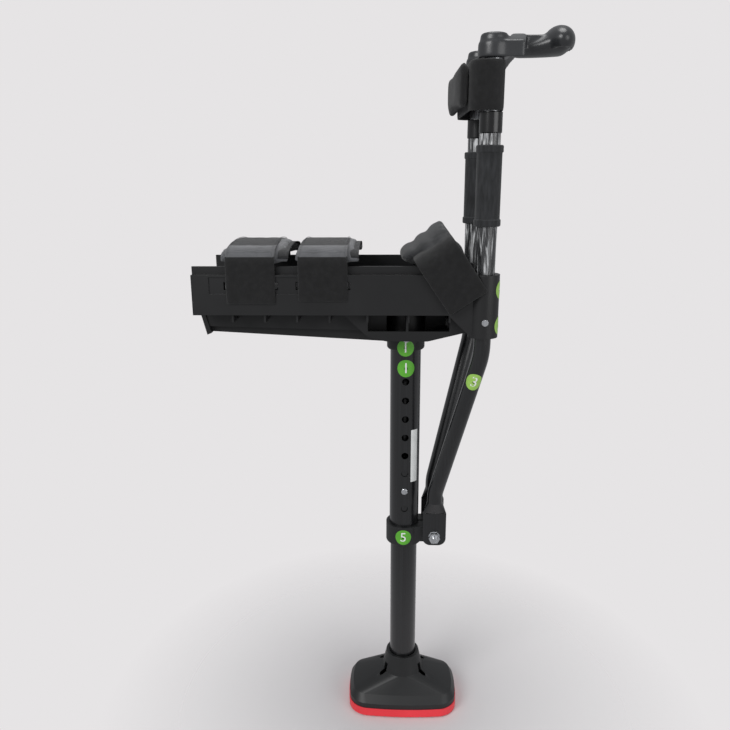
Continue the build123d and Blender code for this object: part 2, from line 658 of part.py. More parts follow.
# Knee tray: a trough with a skirt on each side and a socket for each strut and upright
with BuildPart() as knee_tray:
    with BuildSketch(Plane.YZ.offset(TRAY_REAR)):
        bar(-TROUGH_Y, TROUGH_Y, beam_top, trough_top)
        with Locations((0, (FLOOR_TOP + 2 * trough_top) / 2)):
            RectangleRounded(
                2 * (TROUGH_Y - TROUGH_T), 2 * trough_top - FLOOR_TOP, TROUGH_ROUND, mode=Mode.SUBTRACT
            )
        bar(-SKIRT_Y, -TROUGH_Y, skirt_top - LEDGE_T, skirt_top)
        bar(TROUGH_Y, SKIRT_Y, skirt_top - LEDGE_T, skirt_top)
    extrude(amount=POST_X - TRAY_REAR)
    for y in (-SKIRT_Y, SKIRT_Y - SKIRT_T):
        with BuildSketch(Plane.XZ.offset(-y - SKIRT_T)):
            with BuildLine():
                Polyline(
                    (TRAY_REAR, skirt_top), (TRAY_REAR, skirt_bottom), (SKIRT_BREAK_X, skirt_bottom),
                    (POST_X - socket_r + 3, socket_bottom), (POST_X, socket_bottom), (POST_X, skirt_top), close=True
                )
            make_face()
        extrude(amount=SKIRT_T)
    for i in range(REAR_RIB_COUNT):
        x = REAR_RIB_X + i * REAR_RIB_PITCH
        for y0, y1 in ((-SKIRT_Y + SKIRT_T, -BEAM_Y - SOFT_GAP), (BEAM_Y + SOFT_GAP, SKIRT_Y - SKIRT_T)):
            box_between(x - TRAY_RIB_T / 2, x + TRAY_RIB_T / 2, y0, y1, tray_rib_bottom, beam_top)
    for i in range(FRONT_RIB_COUNT):
        x = FRONT_RIB_X + i * FRONT_RIB_PITCH
        for y0, y1 in ((-SKIRT_Y + SKIRT_T, -HULL_Y - SOFT_GAP), (HULL_Y + SOFT_GAP, SKIRT_Y - SKIRT_T)):
            box_between(x - TRAY_RIB_T / 2, x + TRAY_RIB_T / 2, y0, y1, tray_rib_bottom, beam_top)
    with BuildSketch(Plane.YZ.offset(POST_X - FRONT_WALL_T)):
        bar(-POST_Y, POST_Y, tray_rib_bottom, skirt_top)
        with Locations((0, skirt_top + FRONT_DIP_R - FRONT_DIP)):
            Circle(FRONT_DIP_R, mode=Mode.SUBTRACT)
    extrude(amount=FRONT_WALL_T)
    with BuildSketch(Plane.XY.offset(socket_bottom)):
        with Locations((POST_X, -POST_Y), (POST_X, POST_Y)):
            Circle(socket_r)
    extrude(amount=socket_top - socket_bottom)
    with BuildSketch(Plane.XY.offset(socket_bottom)):
        with Locations((POST_X, -POST_Y), (POST_X, POST_Y)):
            Circle(strut_r + SEAT_GAP)
    extrude(amount=socket_web_z - socket_bottom, mode=Mode.SUBTRACT)
    with BuildSketch(Plane.XY.offset(socket_web_z + SOCKET_WEB_T)):
        with Locations((POST_X, -POST_Y), (POST_X, POST_Y)):
            Circle(post_r + SEAT_GAP)
    extrude(amount=trough_top - socket_web_z, mode=Mode.SUBTRACT)
    box_between(POST_X - socket_r, POST_X, -TROUGH_Y, TROUGH_Y, socket_top, trough_top, Mode.SUBTRACT)
    for y in (-SKIRT_Y, SKIRT_Y - STRAP_PANEL_DEPTH):
        box_between(
            STRAP_PANEL_X0, STRAP_PANEL_X1, y, y + STRAP_PANEL_DEPTH, strap_panel_z,
            strap_panel_z + STRAP_PANEL_H, Mode.SUBTRACT
        )
    for x0, x1 in ((REAR_BAND_X0, REAR_BAND_X1), (MID_BAND_X0, MID_BAND_X1)):
        box_between(
            x0 - STRAP_SLOT_EXTRA, x1 + STRAP_SLOT_EXTRA, -SKIRT_Y, SKIRT_Y, strap_slot_z,
            strap_slot_z + STRAP_SLOT_H, Mode.SUBTRACT
        )
    with BuildSketch(Plane.XZ.offset(-SKIRT_Y)):
        with Locations((KNEE_SLOT_X, knee_slot_z)):
            SlotOverall(KNEE_SLOT_LENGTH, KNEE_SLOT_WIDTH, rotation=KNEE_LEAN)
    extrude(amount=2 * SKIRT_Y, mode=Mode.SUBTRACT)
    with BuildSketch(Plane.XZ.offset(-POST_Y - socket_r)):
        with Locations((POST_X, screw_z)):
            Circle(SCREW_D / 2 + SEAT_GAP)
    extrude(amount=2 * (POST_Y + socket_r), mode=Mode.SUBTRACT)
    with BuildSketch(Plane.XY.offset(beam_top)):
        with Locations(*beam_screw_spots):
            Circle(SCREW_D / 2 + SEAT_GAP)
    extrude(amount=FLOOR_T / 2, mode=Mode.SUBTRACT)
knee_tray.part.label = "knee_tray"
export_step(knee_tray.part, "parts/knee_tray.step")


# Beam under the tray: keel towards the rear, boat-shaped saddle and the boss that takes the leg
with BuildPart() as tray_beam:
    with BuildSketch(Plane.XZ.offset(-HULL_Y)) as hull:
        with BuildLine():
            FilletPolyline(
                (HULL_REAR_X, beam_top), (WINDOW_X0, hull_low_z + HULL_SAG), (-HULL_HALF_LOW, hull_low_z),
                (HULL_HALF_LOW, hull_low_z), (HULL_FRONT_X, hull_front_z), radius=HULL_BEND_R
            )
            Polyline((HULL_FRONT_X, hull_front_z), (HULL_FRONT_X, beam_top), (HULL_REAR_X, beam_top))
        make_face()
    extrude(amount=2 * HULL_Y)
    with BuildSketch(Plane.XZ.offset(-HULL_Y + BEAM_WALL)):
        with BuildLine():
            Polyline(
                (HULL_REAR_X + 3 * BEAM_WALL, beam_top - BEAM_WALL),
                (WINDOW_X0 + BEAM_WALL, hull_low_z + HULL_SAG + BEAM_WALL), (-HULL_HALF_LOW, hull_low_z + BEAM_WALL),
                (HULL_HALF_LOW, hull_low_z + BEAM_WALL), (HULL_FRONT_X - BEAM_WALL, hull_front_z + BEAM_WALL),
                (HULL_FRONT_X - BEAM_WALL, beam_top - BEAM_WALL), close=True
            )
        make_face()
    extrude(amount=2 * (HULL_Y - BEAM_WALL), mode=Mode.SUBTRACT)
    box_between(
        WINDOW_X0, WINDOW_X1, -HULL_Y, HULL_Y, hull_low_z + HULL_BAND, beam_top - BEAM_WALL, Mode.SUBTRACT
    )
    box_between(KEEL_REAR_X, WINDOW_X0, -BEAM_Y, BEAM_Y, beam_top - BEAM_WALL, beam_top)
    for y in (-BEAM_Y, BEAM_Y - BEAM_WALL):
        with BuildSketch(Plane.XZ.offset(-y - BEAM_WALL)):
            with BuildLine():
                Polyline(
                    (KEEL_REAR_X, beam_top), (KEEL_REAR_X, beam_rear_z), (WINDOW_X0, beam_front_z),
                    (WINDOW_X0, beam_top), close=True
                )
            make_face()
        extrude(amount=BEAM_WALL)
    for y in (-KEEL_Y, KEEL_Y - BEAM_WALL):
        with BuildSketch(Plane.XZ.offset(-y - BEAM_WALL)):
            with BuildLine():
                Polyline(
                    (KEEL_REAR_X, beam_top), (KEEL_REAR_X, keel_rear_z), (-HULL_HALF_LOW, keel_front_z),
                    (-HULL_HALF_LOW, beam_top), close=True
                )
            make_face()
        extrude(amount=BEAM_WALL)
    for i in range(REAR_RIB_COUNT):
        x = REAR_RIB_X + i * REAR_RIB_PITCH
        box_between(x - TRAY_RIB_T / 2, x + TRAY_RIB_T / 2, -BEAM_Y, BEAM_Y, keel_rib_z, beam_top)
    with BuildSketch(Plane.XZ.offset(-END_PLATE_Y)):
        with BuildLine():
            Polyline(
                (TRAY_REAR, beam_top), (TRAY_REAR + END_PLATE_T, beam_top), (KEEL_REAR_X + END_PLATE_T, keel_rear_z),
                (KEEL_REAR_X, keel_rear_z - END_PLATE_LIP), close=True
            )
        make_face()
    extrude(amount=2 * END_PLATE_Y)
    with BuildSketch(Plane.XY.offset(boss_bottom)):
        Circle(BOSS_D / 2)
    extrude(amount=beam_top - boss_bottom)
    fillet(tray_beam.faces().sort_by(Axis.Z)[0].edges(), radius=BOSS_EDGE)
    box_between(-BEAM_WALL / 2, BEAM_WALL / 2, -HULL_Y, HULL_Y, hull_low_z + BEAM_WALL, beam_top)
    box_between(
        WINDOW_X0, WINDOW_X1, -BEAM_WALL / 2, BEAM_WALL / 2, hull_low_z + BEAM_WALL, beam_top
    )
    with BuildSketch(Plane.XY.offset(boss_bottom)):
        Circle(outer_r + SEAT_GAP)
    extrude(amount=tube_stop_z - boss_bottom, mode=Mode.SUBTRACT)
    with BuildSketch(Plane.XZ):
        with Locations((0, boss_button_z)):
            Circle(LEG_HOLE_D / 2)
    extrude(amount=BOSS_D, mode=Mode.SUBTRACT)
    with BuildSketch(Plane.XY.offset(beam_top - BEAM_WALL)):
        with Locations(*beam_screw_spots):
            Circle(SCREW_D / 2 + SEAT_GAP)
    extrude(amount=BEAM_WALL, mode=Mode.SUBTRACT)
tray_beam.part.label = "tray_beam"
export_step(tray_beam.part, "parts/tray_beam.step")

with BuildPart() as beam_screws:
    with BuildSketch(Plane.XY.offset(beam_top - BEAM_WALL)):
        with Locations(*beam_screw_spots):
            Circle(SCREW_D / 2)
    extrude(amount=BEAM_WALL + FLOOR_T / 2)
    with BuildSketch(Plane.XY.offset(beam_top - BEAM_WALL - SCREW_HEAD_H)):
        with Locations(*beam_screw_spots):
            Circle(BEAM_SCREW_HEAD_D / 2)
    extrude(amount=SCREW_HEAD_H)
beam_screws.part.label = "beam_screws"
export_step(beam_screws.part, "parts/beam_screws.step")

with BuildPart() as socket_screws:
    for side in SIDES.values():
        seat = (POST_Y + socket_r) * side
        with BuildSketch(Plane.XZ.offset(-seat)):
            with Locations((POST_X, screw_z)):
                Circle(SCREW_D / 2)
        extrude(amount=SOCKET_SCREW_LENGTH * side)
        with BuildSketch(Plane.XZ.offset(-seat)):
            with Locations((POST_X, screw_z)):
                Circle(SCREW_HEAD_D / 2)
        extrude(amount=-SCREW_HEAD_H * side)
socket_screws.part.label = "socket_screws"
export_step(socket_screws.part, "parts/socket_screws.step")


# Uprights: lower tube with film and foam grip, twist lock, and the upper tube that slides in it
def sleeve(x, y, bottom, top, outside, inside):
    """Plain upright tube at one place."""
    with BuildPart() as tube:
        with BuildSketch(Plane.XY.offset(bottom)):
            with Locations((x, y)):
                Circle(outside)
                Circle(inside, mode=Mode.SUBTRACT)
        extrude(amount=top - bottom)
    return tube.part


def foam_grip(y, shift):
    """Foam sleeve with a raised ring at each end."""
    inside = post_r + FILM_T + 2 * SEAT_GAP
    with BuildPart() as grip:
        with BuildSketch(Plane.XY.offset(grip_bottom + shift)):
            with Locations((POST_X, y)):
                Circle(GRIP_D / 2)
        extrude(amount=grip_top - grip_bottom)
        for z in (grip_bottom + shift, grip_top + shift - GRIP_RING_H):
            with BuildSketch(Plane.XY.offset(z)) as ring:
                with Locations((POST_X, y)):
                    Circle(GRIP_RING_D / 2)
            extrude(amount=GRIP_RING_H)
        chamfer(grip.edges().filter_by(GeomType.CIRCLE).group_by(SortBy.RADIUS)[-1], length=GRIP_EDGE)
        with BuildSketch(Plane.XY.offset(grip_bottom + shift)):
            with Locations((POST_X, y)):
                Circle(inside)
        extrude(amount=grip_top - grip_bottom, mode=Mode.SUBTRACT)
    return grip.part


def twist_lock(y):
    """Smooth lock collar: a sleeve over the tube's end with an inward lip on top."""
    with BuildPart() as lock:
        with BuildSketch(Plane.XY.offset(lock_bottom)):
            with Locations((POST_X, y)):
                Circle(LOCK_D / 2)
        extrude(amount=lock_top - lock_bottom)
        chamfer(lock.edges().filter_by(GeomType.CIRCLE), length=LOCK_EDGE)
        with BuildSketch(Plane.XY.offset(lock_bottom)):
            with Locations((POST_X, y)):
                Circle(post_r + SLIDE_GAP)
        extrude(amount=lock_top - LOCK_LIP - lock_bottom, mode=Mode.SUBTRACT)
        with BuildSketch(Plane.XY.offset(lock_bottom)):
            with Locations((POST_X, y)):
                Circle(upper_r + SLIDE_GAP)
        extrude(amount=lock_top - lock_bottom, mode=Mode.SUBTRACT)
    return lock.part


def collet(y):
    """Split ring inside the twist lock that grips the upper tube."""
    bottom = post_top + SEAT_GAP
    with BuildPart() as ring:
        with BuildSketch(Plane.XY.offset(bottom)):
            with Locations((POST_X, y)):
                Circle(post_r - SEAT_GAP)
                Circle(upper_r + SLIDE_GAP, mode=Mode.SUBTRACT)
        extrude(amount=COLLET_H - 2 * SEAT_GAP)
        box_between(
            POST_X, POST_X + POST_D, y - COLLET_SLIT / 2, y + COLLET_SLIT / 2, bottom, lock_top, Mode.SUBTRACT
        )
    return ring.part


for name, side in SIDES.items():
    y = POST_Y * side
    upright = sleeve(POST_X, y, socket_web_z + SOCKET_WEB_T, post_top, post_r, post_r - POST_WALL)
    upright.label = f"thigh_tube_{name}"
    export_step(upright, f"parts/thigh_tube_{name}.step")
    film = sleeve(POST_X, y, socket_top + SOFT_GAP, lock_bottom - SOFT_GAP, post_r + FILM_T + SEAT_GAP, post_r + SEAT_GAP)
    film.label = f"film_{name}"
    export_step(film, f"parts/film_{name}.step")
    grip = foam_grip(y, GRIP_SHIFT[name])
    grip.label = f"foam_grip_{name}"
    export_step(grip, f"parts/foam_grip_{name}.step")
    lock = twist_lock(y)
    lock.label = f"twist_lock_{name}"
    export_step(lock, f"parts/twist_lock_{name}.step")
    gripper = collet(y)
    gripper.label = f"lock_collet_{name}"
    export_step(gripper, f"parts/lock_collet_{name}.step")
    upper = sleeve(POST_X, y, upper_bottom, handle_tube_stop - SEAT_GAP, upper_r, upper_r - UPPER_WALL)
    upper.label = f"upper_tube_{name}"
    export_step(upper, f"parts/upper_tube_{name}.step")


# Soft parts over the shin and the knee
def arch(sketch, half, crest, bottom, corner):
    """Upright sides under a crowned top, drawn in the sketch in use."""
    low = crest - ARCH_DEPTH
    with BuildLine() as sides:
        ThreePointArc((-half, crest - BAND_CROWN), (0, crest), (half, crest - BAND_CROWN))
        Polyline((half, crest - BAND_CROWN), (half, low), (-half, low), (-half, crest - BAND_CROWN))
    make_face(sides.edges())
    fillet(sketch.vertices().group_by(Axis.Y)[-1], radius=corner)
    bar(-half, half, low, bottom, Mode.SUBTRACT)


def arch_layer(plane, half, crest, bottom, thickness, width):
    """Arched sheet of even thickness that starts at a plane."""
    with BuildPart() as layer:
        with BuildSketch(plane) as outside:
            arch(outside, half, crest, bottom, SHIN_CORNER)
        extrude(amount=width)
        with BuildSketch(plane) as inside:
            arch(inside, half - thickness, crest - thickness, bottom, SHIN_CORNER - thickness)
        extrude(amount=width, mode=Mode.SUBTRACT)
    return layer.part


def shin_band(x0, x1, bottom):
    """Strap over the shin with a tab through the slot of each skirt."""
    tab_z = strap_slot_z + STRAP_SLOT_H / 2
    with BuildPart() as band:
        add(arch_layer(Plane.YZ.offset(x0), band_half, shin_crest_z, bottom, BAND_T, x1 - x0))
        for side in SIDES.values():
            y = (band_half - BAND_T) * side
            box_between(x0, x1, min(y, y - TAB_LENGTH * side), max(y, y - TAB_LENGTH * side), tab_z, tab_z + BAND_T)
    return band.part


def cushion(x0, x1, thickness):
    """Cushion lying in the trough."""
    with BuildPart() as pad:
        with BuildSketch(Plane.YZ.offset(x0)) as section:
            bar(
                -TROUGH_Y + TROUGH_T + SOFT_GAP, TROUGH_Y - TROUGH_T - SOFT_GAP,
                FLOOR_TOP + SOFT_GAP, FLOOR_TOP + SOFT_GAP + thickness
            )
            fillet(section.vertices().group_by(Axis.Y)[0], radius=TROUGH_ROUND - SOFT_GAP)
        extrude(amount=x1 - x0)
        chamfer(pad.edges().group_by(Axis.Z)[-1], length=CUSHION_EDGE)
    return pad.part


shin_parts = {
    "shin_strap_rear": shin_band(REAR_BAND_X0, REAR_BAND_X1, rear_band_bottom),
    "shin_strap_front": shin_band(MID_BAND_X0, MID_BAND_X1, mid_band_bottom),
    "shin_pad_rear": arch_layer(
        Plane.YZ.offset(REAR_PAD_X0), pad_half, pad_crest, trough_top + SOFT_GAP, SHIN_PAD_T, REAR_PAD_X1 - REAR_PAD_X0
    ),
    "shin_pad_front": arch_layer(
        Plane.YZ.offset(MID_PAD_X0), pad_half, pad_crest, trough_top + SOFT_GAP, SHIN_PAD_T, MID_PAD_X1 - MID_PAD_X0
    ),
    "shin_cushion": cushion(CUSHION_X0, CUSHION_X1, CUSHION_T),
    "knee_cushion": cushion(KNEE_CUSHION_X0, KNEE_CUSHION_X1, KNEE_CUSHION_T),
}
for name, piece in shin_parts.items():
    piece.label = name
    export_step(piece, f"parts/{name}.step")

knee_plane = Plane(origin=(KNEE_LEG_X, 0, knee_leg_z), x_dir=(0, 1, 0), z_dir=lean_out)
knee_strap = arch_layer(
    knee_plane.offset(-KNEE_BAND_WIDTH / 2), KNEE_BAND_Y + BAND_T, KNEE_BAND_RISE, 0, BAND_T, KNEE_BAND_WIDTH
)
knee_strap.label = "knee_strap"
export_step(knee_strap, "parts/knee_strap.step")

knee_pad_half = KNEE_BAND_Y - SOFT_GAP
knee_pad_rise = KNEE_BAND_RISE - BAND_T - SOFT_GAP
with BuildPart() as knee_strap_pad:
    pad_plane = knee_plane.offset(-KNEE_PAD_WIDTH / 2 - KNEE_PAD_SHIFT)
    with BuildSketch(pad_plane) as outside:
        arch(outside, knee_pad_half, knee_pad_rise, KNEE_PAD_START, SHIN_CORNER)
    extrude(amount=KNEE_PAD_WIDTH)
    with BuildSketch(pad_plane) as cap:
        arch(cap, KNEE_CAP_HALF, KNEE_CAP_RISE, KNEE_PAD_START, SHIN_CORNER)
    extrude(amount=KNEE_PAD_WIDTH - KNEE_PAD_SHIFT)
    with BuildSketch(pad_plane) as inside:
        arch(inside, knee_pad_half - KNEE_PAD_T, knee_pad_rise - KNEE_PAD_T, 0, SHIN_CORNER - KNEE_PAD_T / 2)
    extrude(amount=KNEE_PAD_WIDTH, mode=Mode.SUBTRACT)
    add(
        arch_layer(
            knee_plane.offset(-KNEE_BAND_WIDTH / 2 - SOFT_GAP), KNEE_BAND_Y + BAND_T + SOFT_GAP,
            KNEE_BAND_RISE + SOFT_GAP, 0, BAND_T + 2 * SOFT_GAP, KNEE_BAND_WIDTH + KNEE_PAD_WIDTH
        ),
        mode=Mode.SUBTRACT
    )
    box_between(
        TRAY_REAR, POST_X + socket_r, -band_half, band_half, beam_top, trough_top + SOFT_GAP, Mode.SUBTRACT
    )
knee_strap_pad.part.label = "knee_strap_pad"
export_step(knee_strap_pad.part, "parts/knee_strap_pad.step")


# Handle across the top of the uprights
with BuildPart() as handle:
    with BuildSketch(Plane.XY.offset(handle_bottom)):
        arm_inside = HANDLE_ARM_Y - HANDLE_ARM_W
        with BuildLine():
            Polyline(
                (POST_X, -HANDLE_ARM_Y), (HANDLE_ARM_X, -HANDLE_ARM_Y), (HANDLE_ELBOW_X, -HANDLE_NECK_HALF),
                (HANDLE_NECK_X, -HANDLE_NECK_HALF), (HANDLE_NECK_X, HANDLE_NECK_HALF),
                (HANDLE_ELBOW_X, HANDLE_NECK_HALF), (HANDLE_ARM_X, HANDLE_ARM_Y), (POST_X, HANDLE_ARM_Y),
                (POST_X, arm_inside), (HANDLE_ARM_X - HANDLE_ARM_W, arm_inside),
                (HANDLE_ELBOW_X - HANDLE_ARM_W, HANDLE_NECK_HALF), (HANDLE_ELBOW_X - HANDLE_ARM_W, -HANDLE_NECK_HALF),
                (HANDLE_ARM_X - HANDLE_ARM_W, -arm_inside), (POST_X, -arm_inside), close=True
            )
        make_face()
    extrude(amount=handle_cap_top - handle_bottom + HANDLE_RISE)
    with BuildSketch(Plane.YZ.offset(POST_X)):
        with BuildLine():
            ThreePointArc(
                (-HANDLE_ARM_Y, handle_bottom), (0, handle_bottom + HANDLE_RISE), (HANDLE_ARM_Y, handle_bottom)
            )
            Line((HANDLE_ARM_Y, handle_bottom), (HANDLE_ARM_Y, handle_body_top))
            ThreePointArc(
                (HANDLE_ARM_Y, handle_body_top), (0, handle_body_top + HANDLE_RISE), (-HANDLE_ARM_Y, handle_body_top)
            )
            Line((-HANDLE_ARM_Y, handle_body_top), (-HANDLE_ARM_Y, handle_bottom))
        make_face()
    extrude(amount=HANDLE_NECK_X - POST_X, mode=Mode.INTERSECT)
    with BuildSketch(Plane.XY.offset(handle_bottom)):
        with Locations((POST_X, -POST_Y), (POST_X, POST_Y)):
            Circle(HANDLE_RING_D / 2)
    extrude(amount=handle_body_top - handle_bottom)
    for side in SIDES.values():
        with BuildPart(mode=Mode.PRIVATE) as cap:
            with BuildSketch(Plane.XY.offset(handle_bottom)):
                with Locations((POST_X, POST_Y * side)):
                    Circle(HANDLE_CAP_D / 2)
            extrude(amount=handle_cap_top - handle_bottom)
            fillet(cap.edges().group_by(Axis.Z)[-1], radius=2 * HANDLE_EDGE)
        add(cap.part)
    with BuildPart(mode=Mode.PRIVATE) as bulb:
        Sphere(BULB_R)
        scale(by=(1, BULB_HALF / BULB_R, 1))
    with Locations((BULB_X, 0, bulb_z)):
        add(bulb.part)
    with BuildSketch(Plane.XY.offset(bulb_z + BULB_WALL)):
        with Locations((BULB_X, 0)):
            Ellipse(BULB_R - BULB_WALL, BULB_HALF - 2 * BULB_WALL)
    extrude(amount=-2 * BULB_R, mode=Mode.SUBTRACT)
    for y in (-BULB_HALF / 2, 0, BULB_HALF / 2):
        box_between(
            BULB_X - BULB_R / 2, BULB_X + BULB_R / 2, y - BULB_RIB_T / 2, y + BULB_RIB_T / 2,
            bulb_z - BULB_R / 2, bulb_z + BULB_WALL + BULB_RIB_T
        )
    with BuildSketch(Plane.XY.offset(handle_bottom)):
        with Locations((POST_X, -POST_Y), (POST_X, POST_Y)):
            Circle(upper_r + SEAT_GAP)
    extrude(amount=handle_tube_stop - handle_bottom, mode=Mode.SUBTRACT)
handle.part.label = "handle"
export_step(handle.part, "parts/handle.step")


# Thigh strap around the upper tubes, with its pad on the leg's side
strap_centre = ((STRAP_X0 + STRAP_X1) / 2, 0)
with BuildPart() as thigh_strap:
    with BuildSketch(Plane.XY.offset(strap_bottom)):
        with Locations(strap_centre):
            RectangleRounded(STRAP_X1 - STRAP_X0, 2 * STRAP_Y, STRAP_CORNER)
            RectangleRounded(
                STRAP_X1 - STRAP_X0 - 2 * BAND_T, 2 * (STRAP_Y - BAND_T), STRAP_CORNER - BAND_T, mode=Mode.SUBTRACT
            )
    extrude(amount=STRAP_HEIGHT)
thigh_strap.part.label = "thigh_strap"
export_step(thigh_strap.part, "parts/thigh_strap.step")

with BuildPart() as thigh_pad:
    box_between(
        THIGH_PAD_X, STRAP_X0 - SOFT_GAP, -THIGH_PAD_HALF, THIGH_PAD_HALF, strap_bottom, strap_bottom + STRAP_HEIGHT
    )
    chamfer(thigh_pad.edges(), length=THIGH_PAD_ROUND)
thigh_pad.part.label = "thigh_pad"
export_step(thigh_pad.part, "parts/thigh_pad.step")
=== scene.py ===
import math

import bmesh
import bpy
from mathutils import Matrix, Vector, noise


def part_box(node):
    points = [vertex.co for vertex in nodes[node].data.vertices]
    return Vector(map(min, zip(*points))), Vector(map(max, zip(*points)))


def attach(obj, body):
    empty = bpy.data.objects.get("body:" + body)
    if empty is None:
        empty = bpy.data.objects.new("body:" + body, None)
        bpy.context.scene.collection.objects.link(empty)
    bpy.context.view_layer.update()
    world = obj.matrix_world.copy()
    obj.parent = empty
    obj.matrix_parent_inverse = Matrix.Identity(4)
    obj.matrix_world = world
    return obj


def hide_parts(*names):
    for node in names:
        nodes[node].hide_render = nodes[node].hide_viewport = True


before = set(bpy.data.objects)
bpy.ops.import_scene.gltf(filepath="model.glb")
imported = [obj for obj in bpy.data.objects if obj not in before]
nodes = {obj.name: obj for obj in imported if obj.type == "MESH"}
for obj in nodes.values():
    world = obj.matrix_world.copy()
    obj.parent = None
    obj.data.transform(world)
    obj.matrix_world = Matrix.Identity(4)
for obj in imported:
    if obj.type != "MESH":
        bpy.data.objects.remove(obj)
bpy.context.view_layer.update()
scene = bpy.context.scene

# Places and sizes shared by several pieces, in metres, as in the solids
POST_X, POST_Y = 0.0867, 0.0577
LEG_R, BOSS_R, SOCKET_R, STRUT_R = 0.01905, 0.0234, 0.017, 0.00975
KNEE_LEAN = math.radians(34)
LEAN_UP = Vector((-math.sin(KNEE_LEAN), 0, math.cos(KNEE_LEAN)))
LEAN_OUT = Vector((math.cos(KNEE_LEAN), 0, math.sin(KNEE_LEAN)))
KNEE_FOOT = Vector((0.068, 0, 0.580))
WEBBING_T, TAPE_T = 0.0022, 0.0006
SHIN_BAND_WIDTH, SHIN_BAND_HALF, SHIN_CREST = 0.056, 0.0683, 0.6438
KNEE_BAND_WIDTH, KNEE_BAND_HALF, KNEE_CREST = 0.050, 0.0752, 0.0758
BAND_CORNER, BAND_CROWN = 0.018, 0.012
REAR_BAND_X, FRONT_BAND_X, REAR_BAND_FOOT, FRONT_BAND_FOOT = -0.178, -0.096, 0.578, 0.581
SATIN_LOW, BLACK_STRIP_LOW = 0.6315, 0.6425
REAR_PAD_X, FRONT_PAD_X = -0.174, -0.092
KNEE_PAD_TOP, KNEE_PAD_SQUASH = 0.074, 0.35
QUILT_PITCH, CUSHION_PITCH = 0.016, 0.052
STITCH_PITCH, STITCH_LENGTH, STITCH_R = 0.004, 0.0026, 0.0003
STITCH_OUT, STITCH_WIDEN, STITCH_LOW = 0.025, 1.04, 0.634
STICKER_R, STICKER_LIFT, STICKER_EDGE_LIFT, FIGURE_LIFT = 0.0105, 0.00025, 0.0001, 0.0004
STRUT_STICKER_Z = 0.486
LABEL_WIDE, LABEL_HIGH, LABEL_LIFT = 0.010, 0.071, 0.0002
NECK_X, NECK_RUN, NECK_Z, NECK_RISE = 0.124, 0.042, 0.8535, 0.0085
NECK_HALF, NECK_WIDEN, NECK_DEEP, NECK_DEEPEN, NECK_STEPS = 0.014, 0.014, 0.0085, 0.007, 10


# Materials: each is named for the real one, and a comment over it says what it gives the eye
def linear(code):
    """An sRGB hex colour as linear RGBA."""
    parts = [int(code[i:i + 2], 16) / 255 for i in (1, 3, 5)]
    return tuple(p / 12.92 if p <= 0.04045 else ((p + 0.055) / 1.055) ** 2.4 for p in parts) + (1.0,)


def add(tree, kind, links=None, stops=(), **values):
    """A new node with its links, its ramp's stops, and its settings and plain input values."""
    node = tree.nodes.new(kind)
    for key, value in values.items():
        name = key.replace("_", " ").title()
        if name in node.inputs:
            node.inputs[name].default_value = value
        else:
            setattr(node, key, value)
    for key, source in (links or {}).items():
        tree.links.new(source, node.inputs[key])
    for i, (position, colour) in enumerate(stops):
        node.color_ramp.elements[i].position = position
        node.color_ramp.elements[i].color = colour
    return node


def cells(size_mm):
    """A texture's scale from the real size of what it draws, as coordinates are in metres."""
    return 1000 / size_mm


def surface(name, **sockets):
    """A material with its shader's plain values, and the object coordinates to paint by."""
    made = bpy.data.materials.new(name)
    made.use_nodes = True
    tree = made.node_tree
    shader = tree.nodes["Principled BSDF"]
    for key, value in sockets.items():
        shader.inputs[key.replace("_", " ").title().replace("Ior", "IOR")].default_value = value
    where = add(tree, "ShaderNodeTexCoord").outputs["Object"]
    return made, tree, shader, where


def feed(tree, shader, colour, **outputs):
    """Join a colour, and outputs named for them, to the shader's sockets."""
    tree.links.new(colour.outputs["Color"], shader.inputs["Base Color"])
    for key, node in outputs.items():
        tree.links.new(node.outputs[0], shader.inputs[key.title()])


def moulded(name, dark, light, rough, grain_mm=1.11, relief=0.00005, spec=0.5):
    """Moulding: faint clouds 70 mm across, soft edges, and a grain far coarser than real so that it shows."""
    made, tree, shader, where = surface(name, specular_ior_level=spec)
    cloud = add(tree, "ShaderNodeTexNoise", {"Vector": where}, scale=cells(71.4), detail=4).outputs["Fac"]
    colour = add(tree, "ShaderNodeValToRGB", {"Fac": cloud}, ((0.3, linear(dark)), (0.7, linear(light))))
    gloss = add(tree, "ShaderNodeMapRange", {"Value": cloud}, to_min=rough - 0.06, to_max=rough + 0.08)
    speck = add(tree, "ShaderNodeTexNoise", {"Vector": where}, scale=cells(grain_mm), detail=3).outputs["Fac"]
    edge = add(tree, "ShaderNodeBevel", samples=4, radius=0.0006).outputs[0]
    grain = add(tree, "ShaderNodeBump", {"Height": speck, "Normal": edge}, distance=relief, strength=1.0)
    feed(tree, shader, colour, roughness=gloss, normal=grain)
    return made


def tube_finish(name, dark, light, rough, metal=0.0):
    """Drawn tube under a smooth coat: lines 2 mm wide and 167 mm long, coarser than real so they show."""
    made, tree, shader, where = surface(name, metallic=metal, coat_weight=0.5, coat_roughness=0.12)
    drawn_out = (cells(2), cells(2), cells(167))
    along = add(tree, "ShaderNodeMapping", {"Vector": where}, vector_type="POINT", scale=drawn_out).outputs[0]
    lines = add(tree, "ShaderNodeTexNoise", {"Vector": along}, scale=1, detail=3).outputs["Fac"]
    colour = add(tree, "ShaderNodeValToRGB", {"Fac": lines}, ((0.35, linear(dark)), (0.7, linear(light))))
    gloss = add(tree, "ShaderNodeMapRange", {"Value": lines}, to_min=rough - 0.05, to_max=rough + 0.1)
    edge = add(tree, "ShaderNodeBevel", samples=4, radius=0.0004).outputs[0]
    drawn = add(tree, "ShaderNodeBump", {"Height": lines, "Normal": edge}, distance=0.00002, strength=0.6)
    feed(tree, shader, colour, roughness=gloss, normal=drawn)
    return made


